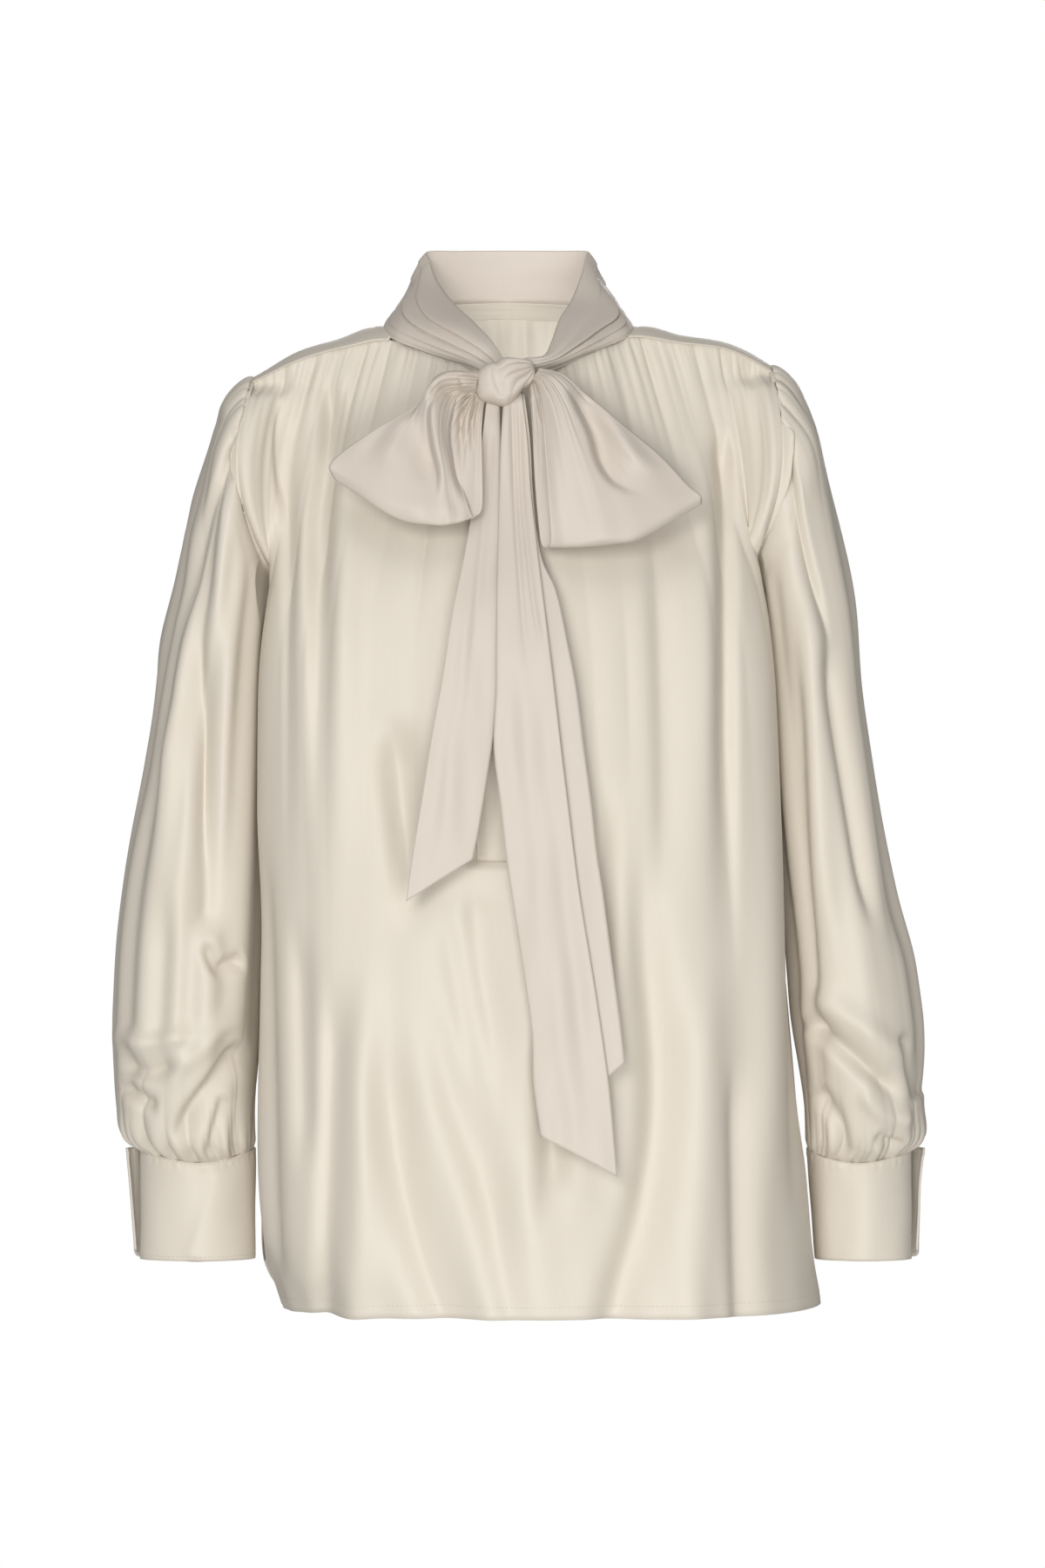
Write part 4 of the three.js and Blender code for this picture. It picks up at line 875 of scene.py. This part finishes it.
def collarGrid():
    s, v = np.meshgrid(np.linspace(0, 1, 270), np.linspace(-1, 1, 116))
    top = np.stack(read(collarTop, "s", s, "x y z"), axis=-1)
    foot = np.stack(read(collarFoot, "s", s, "x y z"), axis=-1)
    names = "swell first second third firstStep secondStep thirdStep"
    swell, first, second, third, firstStep, secondStep, thirdStep = read(collarTiers, "s", s, names)
    away = np.stack([foot[..., 0], foot[..., 1], 0 * s], axis=-1)
    away = away / np.linalg.norm(away, axis=-1, keepdims=True)
    away[..., 2] = 0.25 * bell(s - 0.5, 0.4)
    outer, inner = np.clip(v, 0, 1), np.clip(-v, 0, 1)
    ends = ease(s / 0.08) * ease((1 - s) / 0.08)
    slim = bell(s - 0.38, 0.08) + bell(s - 0.62, 0.08)
    layer = 3.2 - 1.2 * slim
    out = swell * np.sin(math.pi * outer ** 0.85) ** 0.9 + layer * ends * np.clip(outer * 6, 0, 1) ** 0.5
    out = out * (1 - ease((outer - 0.9) / 0.1) * 0.6)
    out = out + tier(outer, 0, first, firstStep) + tier(outer, first + 0.04, second, secondStep)
    out = out + tier(outer, second + 0.04, third, thirdStep)
    out = out + ends * 0.9 * wobble(s * 7, v * 1.3, seed=7) * np.sin(math.pi * outer)
    inside = 0.5 * wobble(s * 5, v * 2, seed=8) * np.sin(math.pi * inner) - 1.2 * ends * inner
    grid = lerp(top, foot, np.where(v < 0, inner, outer)[..., None])
    grid = grid + away * np.where(v < 0, inside, out)[..., None]
    grid[..., 2] -= 2.4 * ease((inner - 0.85) / 0.15)
    return grid


collar = clothMesh("tieCollar", collarGrid(), tieSatin, (0.55, 0.12), thickness=wall["tie"])
seated(collar, "tie_satin", "collar")
print("collar made")


# Bow

knotForm = dict(
    columns=190, rows=110, x=-1.5, y=-98.5, z=-30, halfWide=20.5, halfDeep=14.5, halfHigh=14.5,
    narrower=0.34,       # towards the wearer's left, as a share of its depth and height
    tilt=0.24, raised=1.5, sagged=6,
    gather=(20, -19))    # where its pleats run together, in a front view


def knotGrid():
    form = knotForm
    turn, lift = np.meshgrid(np.linspace(0, 2 * math.pi, form["columns"], endpoint=False),
                             np.linspace(0.03, math.pi - 0.03, form["rows"]))
    x, y, z = np.sin(lift) * np.cos(turn), np.sin(lift) * np.sin(turn), np.cos(lift)
    squarer = 1 / (np.abs(x) ** 3.2 + np.abs(y) ** 2.6 + np.abs(z) ** 3.2) ** (1 / 3)
    x, y, z = x * squarer, y * squarer, z * squarer
    narrow = 1 - form["narrower"] * ease((x + 0.1) / 1.1)
    grid = np.stack([form["x"] + form["halfWide"] * x, form["y"] + form["halfDeep"] * y * narrow,
                     form["z"] + form["halfHigh"] * z * narrow], axis=-1)
    grid[..., 2] += form["tilt"] * grid[..., 0] + form["raised"]
    grid[..., 2] -= form["sagged"] * bell(grid[..., 0], 9) * ease(-z * 1.4)
    fromX, fromZ = grid[..., 0] - form["gather"][0], grid[..., 2] - form["gather"][1]
    turnHere = np.arctan2(fromZ, -fromX)
    near = np.hypot(fromX, fromZ)
    folds = np.abs(np.sin(turnHere * 7 + 1.1 * wobble(near / 30, turnHere, seed=5))) ** 0.6 - 0.7
    folds = folds * 2.6 * ease(near / 6) * (1 - 0.8 * ease((near - 12) / 18))
    wrapPath = [(-8, -14), (-9, -28), (-3, -44)]
    wrap = crease(grid[..., 0], grid[..., 2], wrapPath, 2.2, -1.6, 3.0, 0.1, 0.1)
    return pushed(grid, folds + wrap, ring=True)


knot = clothMesh("bowKnot", knotGrid(), tieSatin, (0.12, 0.06), ring=True)
seated(knot, "tie_satin", "bow_knot")

# the part of the photograph that the loops were read from: its corner and width in pixels, and how
# wide it was shown
bowCrop = dict(left=370, top=380, width=450, shownWidth=1900)


def placeOf(across, down, y):
    # where a place in the enlarged part lies, to a tenth of a millimetre, if its depth is y
    zoom = bowCrop["shownWidth"] / bowCrop["width"]
    pixelAcross, pixelDown = bowCrop["left"] + across / zoom, bowCrop["top"] + down / zoom
    nearer = photo["cameraY"] / (photo["cameraY"] - y)
    x = photo["cameraX"] + (pixelAcross - photo["middleAcross"]) * photo["pixel"] / nearer
    z = photo["cameraZ"] + (photo["middleDown"] - pixelDown) * photo["pixel"] / nearer
    return round(x, 1), y, round(z, 1)


# a loop's places are rows from the knot down the front, round the lowest edge and up behind to
# the knot, each from the edge beside the tails to the outer edge: across, down, depth
rightLoop = dict(
    places=(
        [(752, 292, -98), (748, 275, -104), (750, 250, -108), (758, 222, -106), (768, 196, -100)],
        [(706, 298, -99), (700, 282, -106), (690, 250, -114), (690, 212, -113), (700, 192, -104)],
        [(674, 305, -100), (640, 296, -103), (586, 262, -117), (590, 215, -117), (620, 194, -105)],
        [(652, 340, -103), (610, 330, -103), (532, 320, -122), (512, 280, -120), (545, 226, -106)],
        [(628, 420, -108), (585, 410, -112), (508, 400, -125), (452, 396, -116), (460, 352, -107)],
        [(615, 520, -114), (580, 520, -120), (512, 525, -128), (400, 500, -118), (250, 482, -110)],
        [(640, 640, -121), (602, 645, -126), (530, 660, -130), (350, 620, -125), (90, 592, -113)],
        [(684, 775, -127), (625, 785, -131), (540, 780, -133), (310, 765, -130), (36, 650, -115)],
        [(708, 850, -130), (640, 872, -134), (545, 862, -136), (330, 840, -133), (44, 688, -115)],
        [(726, 893, -130), (645, 926, -134), (540, 934, -135), (345, 897, -132), (66, 722, -114)],
        [(745, 898, -127), (660, 918, -129), (540, 922, -130), (350, 886, -127), (80, 716, -110)],
        [(776, 850, -122), (690, 840, -124), (560, 840, -124), (380, 820, -122), (120, 670, -108)],
        [(776, 650, -114), (700, 640, -115), (600, 640, -115), (480, 620, -114), (300, 560, -106)],
        [(772, 500, -106), (720, 490, -107), (660, 470, -106), (600, 450, -105), (500, 420, -101)],
        [(778, 390, -100), (745, 370, -101), (712, 350, -100), (690, 330, -99), (660, 300, -97)],
        [(788, 330, -96), (770, 318, -97), (752, 306, -97), (745, 300, -96), (742, 290, -95)],
    ),
    frontRows=10, seed=31, pleats=5,
    folds=(
        ([(-50, -32), (-57, -54), (-55, -78), (-50, -99), (-52, -119)], 15, -10, 0.2, 0.2, 0.4),
        ([(-44, -36), (-48, -60), (-46, -90), (-40, -118)], 6, 4, 1.0, 0.2, 0.3),
        ([(-29, -34), (-37, -57), (-37, -80), (-35, -98), (-27, -121)], 2.6, -8, 3.4, 0.15, 0.25),
        ([(-66, -50), (-78, -70), (-92, -90)], 8, 4, 1.0, 0.3, 0.4),
        ([(-72, -52), (-92, -76), (-108, -92)], 7, -3, 1.5, 0.3, 0.4),
        ([(-56, -48), (-46, -38), (-31, -34)], 4.5, -8, 1.6, 0.35, 0.15),
    ),
    backFolds=(
        ([(-27, -38), (-33, -60), (-31, -100)], 2.4, -7, 1.3, 0.1, 0.5),
        ([(-21, -38), (-25, -60), (-24, -88)], 2.2, -7, 1.3, 0.1, 0.5),
    ))
leftLoop = dict(
    places=(
        [(1012, 232, -97), (1022, 222, -101), (1034, 208, -103), (1044, 194, -101), (1052, 180, -97)],
        [(1038, 262, -104), (1062, 248, -110), (1096, 236, -113), (1136, 226, -111), (1172, 212, -104)],
        [(1058, 345, -112), (1108, 348, -119), (1166, 345, -121), (1225, 332, -117), (1278, 304, -107)],
        [(1073, 470, -120), (1140, 482, -127), (1220, 488, -128), (1320, 476, -122), (1440, 440, -110)],
        [(1085, 650, -127), (1170, 668, -133), (1290, 680, -134), (1440, 662, -127), (1640, 606, -113)],
        [(1097, 830, -132), (1200, 850, -137), (1350, 862, -137), (1540, 832, -131), (1772, 746, -117)],
        [(1108, 960, -134), (1220, 982, -138), (1380, 985, -139), (1580, 930, -133), (1832, 792, -119)],
        [(1106, 1030, -133), (1225, 1036, -137), (1388, 1024, -137), (1560, 990, -133), (1840, 824, -118)],
        [(1090, 1050, -129), (1222, 1046, -132), (1388, 1032, -132), (1556, 996, -128), (1834, 836, -115)],
        [(1062, 1030, -125), (1200, 1010, -127), (1370, 1000, -127), (1540, 950, -124), (1780, 800, -112)],
        [(1046, 900, -122), (1150, 880, -123), (1290, 860, -123), (1440, 800, -120), (1640, 700, -109)],
        [(1030, 700, -115), (1100, 680, -117), (1190, 650, -117), (1290, 600, -114), (1440, 520, -106)],
        [(1021, 500, -108), (1060, 480, -110), (1110, 450, -110), (1160, 410, -108), (1230, 360, -102)],
        [(1014, 360, -102), (1034, 340, -103), (1060, 310, -103), (1086, 280, -102), (1120, 250, -99)],
        [(1006, 262, -96), (1016, 250, -97), (1026, 236, -97), (1038, 222, -97), (1050, 205, -96)],
    ),
    frontRows=8, seed=37, pleats=6,
    folds=(
        ([(42, -34), (50, -48), (60, -69), (66, -90), (78, -105), (100, -111)], 3, -14, 4.2, 0.25, 0.45),
        ([(56, -40), (74, -62), (92, -86), (112, -100)], 6, 4, 1.0, 0.3, 0.4),
        ([(24, -30), (28, -60), (34, -100)], 4, -1.6, 1.6, 0.3, 0.6),
    ),
    backFolds=(
        ([(20, -40), (23, -70), (25, -120)], 2.2, -2.5, 1.3, 0.1, 0.4),
    ))


def loopGrid(loop, rows=165, columns=96):
    places = [[placeOf(*place) for place in row] for row in loop["places"]]
    grid = net(places, rows, columns)
    across, share = np.meshgrid(np.linspace(0, 1, columns), np.linspace(0, 1, rows))
    turned = loop["frontRows"] / (len(places) - 1)
    inFront = 1 - ease((share - turned + 0.05) / 0.1)
    x, z = grid[..., 0], grid[..., 2]
    fromKnot = np.hypot(x + 3, z + 30)
    phase = loop["pleats"] * across + 0.5 * wobble(across * 4, seed=loop["seed"])
    pleats = 2.8 * np.abs(np.cos(math.pi * phase)) - 1.8
    pleats = pleats * ease((fromKnot - 14) / 8) * np.exp(-np.maximum(fromKnot - 18, 0) / 26)
    out = inFront * creases(x, z, loop["folds"]) + (1 - inFront) * creases(x, z, loop["backFolds"])
    uneven = 0.5 * wobble(across * 4, share * 4, seed=loop["seed"] + 1)
    grid[..., 1] -= out + pleats + uneven * ease((fromKnot - 30) / 40)
    return grid


for side, loop, length in (("right", rightLoop, 0.18), ("left", leftLoop, 0.21)):
    piece = clothMesh(f"{side}Loop", loopGrid(loop), tieSatin, (0.115, length), thickness=wall["tie"])
    seated(piece, "tie_satin", f"bow_loop_{side}")

rightTail = dict(
    form=table(
        "z fold front back lean",
        (-40, -6, -14, -13, -94), (-72, -5, -18, -17, -98), (-109, -4.5, -23, -21, -107.5),
        (-137, -4.5, -27, -25, -119.5), (-160, -4.8, -31, -28, -129), (-194, -5.2, -38, -33, -142),
        (-240, -6.4, -45, -40, -148), (-276, -9.2, -51.5, -45, -149), (-310, -14.2, -57, -51, -151),
        (-344, -19.6, -62.5, -56, -151.5), (-366, -24, -66, -60, -152), (-400, -31, -71, -66, -152)),
    cut=dict(fold=-366, front=-397, back=-345), stand=0.0,
    folds=(
        ([(-12, -60), (-18, -150), (-32, -300)], 3, -1.8, 1.4, 0.1, 0.4),
        ([(-20, -150), (-34, -260), (-50, -390)], 6, 1.6, 1.4, 0.2, 0.2),
    ))
leftTail = dict(
    form=table(
        "z fold front back lean",
        (-40, -2, 10, 12, -100), (-72, -4.2, 14, 16, -106), (-109, -5.4, 16.5, 18, -112),
        (-140, -6, 20, 21, -124), (-160, -6.4, 22, 25, -134), (-180, -6.8, 24.5, 34, -142),
        (-221, -7.2, 29.5, 43, -151), (-250, -7.4, 33, 48.5, -153), (-289, -9, 37.4, 53.4, -154),
        (-328, -4.5, 42.2, 58.6, -155), (-364, -0.6, 46.6, 62.6, -155), (-393, 3.6, 50.6, 67, -155.5),
        (-450, 12.3, 60, 74.6, -156), (-489, 17.6, 66, 79.8, -156.5), (-523, 18.6, 70.6, 84, -157),
        (-562, 24, 74.4, 90, -157), (-590, 28, 76.6, 92, -157)),
    cut=dict(fold=-559, front=-588, back=-509), stand=3.0,
    folds=(
        ([(3, -45), (5, -110), (10, -190), (16, -250)], 1.8, -2.2, 1.4, 0.05, 0.5),
        ([(8, -45), (11, -120), (20, -200), (28, -220)], 1.6, -1.8, 1.4, 0.05, 0.4),
        ([(6, -190), (18, -330), (36, -480), (50, -580)], 8, 1.8, 1.3, 0.2, 0.2),
        ([(22, -240), (40, -400), (58, -540)], 6, -1.4, 1.3, 0.2, 0.3),
    ))


def tailGrid(tail, rows=160, columns=66):
    form, cut = tail["form"], tail["cut"]
    t, s = np.meshgrid(np.linspace(-1, 1, columns), np.linspace(0, 1, rows))
    top = form["z"][0]
    end = lerp(cut["fold"], np.where(t < 0, cut["front"], cut["back"]), np.abs(t))
    z = lerp(top, end, s ** 0.85)
    fold, frontEdge, backEdge, lean = read(form, "z", z, "fold front back lean")
    reach = np.maximum(0, np.abs(t) - 0.05) / 0.95
    x = lerp(fold, np.where(t < 0, frontEdge, backEdge), reach)
    y = lean + 1.7 * np.tanh(t * 7) - tail["stand"] * ease((-t - 0.3) / 0.7) * bell(z + 290, 130)
    y = y - creases(x, z, tail["folds"]) * np.where(t < 0, 1.0, 0.7)
    y = y - 0.4 * wobble(x / 20, z / 120, seed=17) * ease((top - z) / 60)
    return np.stack([x, y, z], axis=-1)


for side, tail, length, area in (("right", rightTail, 0.36, 0.0265), ("left", leftTail, 0.55, 0.06)):
    piece = clothMesh(f"{side}Tail", tailGrid(tail), tieSatin, (0.115, length), thickness=wall["tie"])
    seated(piece, "tie_satin", f"bow_tail_{side}")
print("bow made")


# Floor, light and camera

def plainFinish(name, colour):
    finish, tree, shader = newFinish(name)
    feed(tree, shader, {"Base Color": (*colour, 1), "Roughness": 0.9})
    return finish


def makeFloor(radius=0.9, level=-1.15):
    turn = np.linspace(0, 2 * math.pi, 64, endpoint=False)
    rim = [(radius * math.cos(a), radius * math.sin(a), level) for a in turn]
    mesh = bpy.data.meshes.new("floor")
    mesh.from_pydata(rim, [], [list(range(64))])
    mesh.materials.append(plainFinish("paleFloor", (0.92, 0.92, 0.92)))
    floor = bpy.data.objects.new("floor", mesh)
    bpy.context.scene.collection.objects.link(floor)


def areaLight(name, place, aim, size, power, colour):
    data = bpy.data.lights.new(name, "AREA")
    data.shape, data.size, data.energy, data.color = "SQUARE", size, power, colour
    light = bpy.data.objects.new(name, data)
    bpy.context.scene.collection.objects.link(light)
    light.visible_camera = False
    light.location = place
    away = np.array(place) - np.array(aim)
    yaw = math.atan2(away[1], away[0]) + math.pi / 2
    pitch = math.atan2(math.hypot(away[0], away[1]), away[2])
    light.rotation_euler = (pitch, 0, yaw)


def whiteSurround(strength):
    # pure white to the camera, and a soft light of this strength on the blouse
    world = bpy.data.worlds.new("studio")
    bpy.context.scene.world = world
    world.use_nodes = True
    tree = world.node_tree
    white = (1, 1, 1, 1)
    lit = feed(tree, tree.nodes["Background"], {"Color": white, "Strength": strength})
    seen = addNode(tree, "ShaderNodeBackground", {"Color": white})
    path = addNode(tree, "ShaderNodeLightPath")
    either = addNode(tree, "ShaderNodeMixShader", {
        "Fac": path.outputs["Is Camera Ray"], 1: lit.outputs["Background"],
        2: seen.outputs["Background"]})
    feed(tree, tree.nodes["World Output"], {"Surface": either.outputs["Shader"]})


def placeCamera(sensor=36):
    # stands where the photograph was taken from and takes in the same height
    lens = bpy.data.cameras.new("camera")
    lens.sensor_fit = "VERTICAL"
    lens.sensor_height = sensor
    lens.lens = sensor * -photo["cameraY"] / (photo["height"] * photo["pixel"])
    camera = bpy.data.objects.new("camera", lens)
    camera.location = (photo["cameraX"] * mm, photo["cameraY"] * mm, photo["cameraZ"] * mm)
    camera.rotation_euler = (math.pi / 2, 0, 0)
    bpy.context.scene.collection.objects.link(camera)
    bpy.context.scene.camera = camera


# each light's place, aim and size in metres, power and colour
studio = dict(
    ambient=0.26,
    lights=dict(
        key=((-0.8, -3.1, 0.35), (0, 0, -0.4), 1.2, 38.0, (1, 0.99, 0.97)),
        low=((0.1, -2.6, -1.0), (0, 0, -0.6), 1.0, 27.0, (1, 1, 0.98)),
        fill=((1.8, -2.5, -0.1), (0, 0, -0.45), 1.4, 6.2, (1, 0.99, 0.97)),
        top=((-0.1, -1.3, 1.9), (0, 0, -0.1), 1.2, 11.0, (1, 1, 1)),
        back=((0.3, 3.1, 0.4), (0, 0, -0.35), 1.6, 34.0, (1, 1, 1)),
        neck=((0.0, -0.02, -0.05), (0, 0.065, 0.02), 0.07, 0.07, (1, 1, 1))))
makeFloor()
for name, light in studio["lights"].items():
    areaLight(f"{name}Light", *light)
whiteSurround(studio["ambient"])
bpy.context.scene.view_settings.view_transform = "Standard"
placeCamera()
print("studio made")
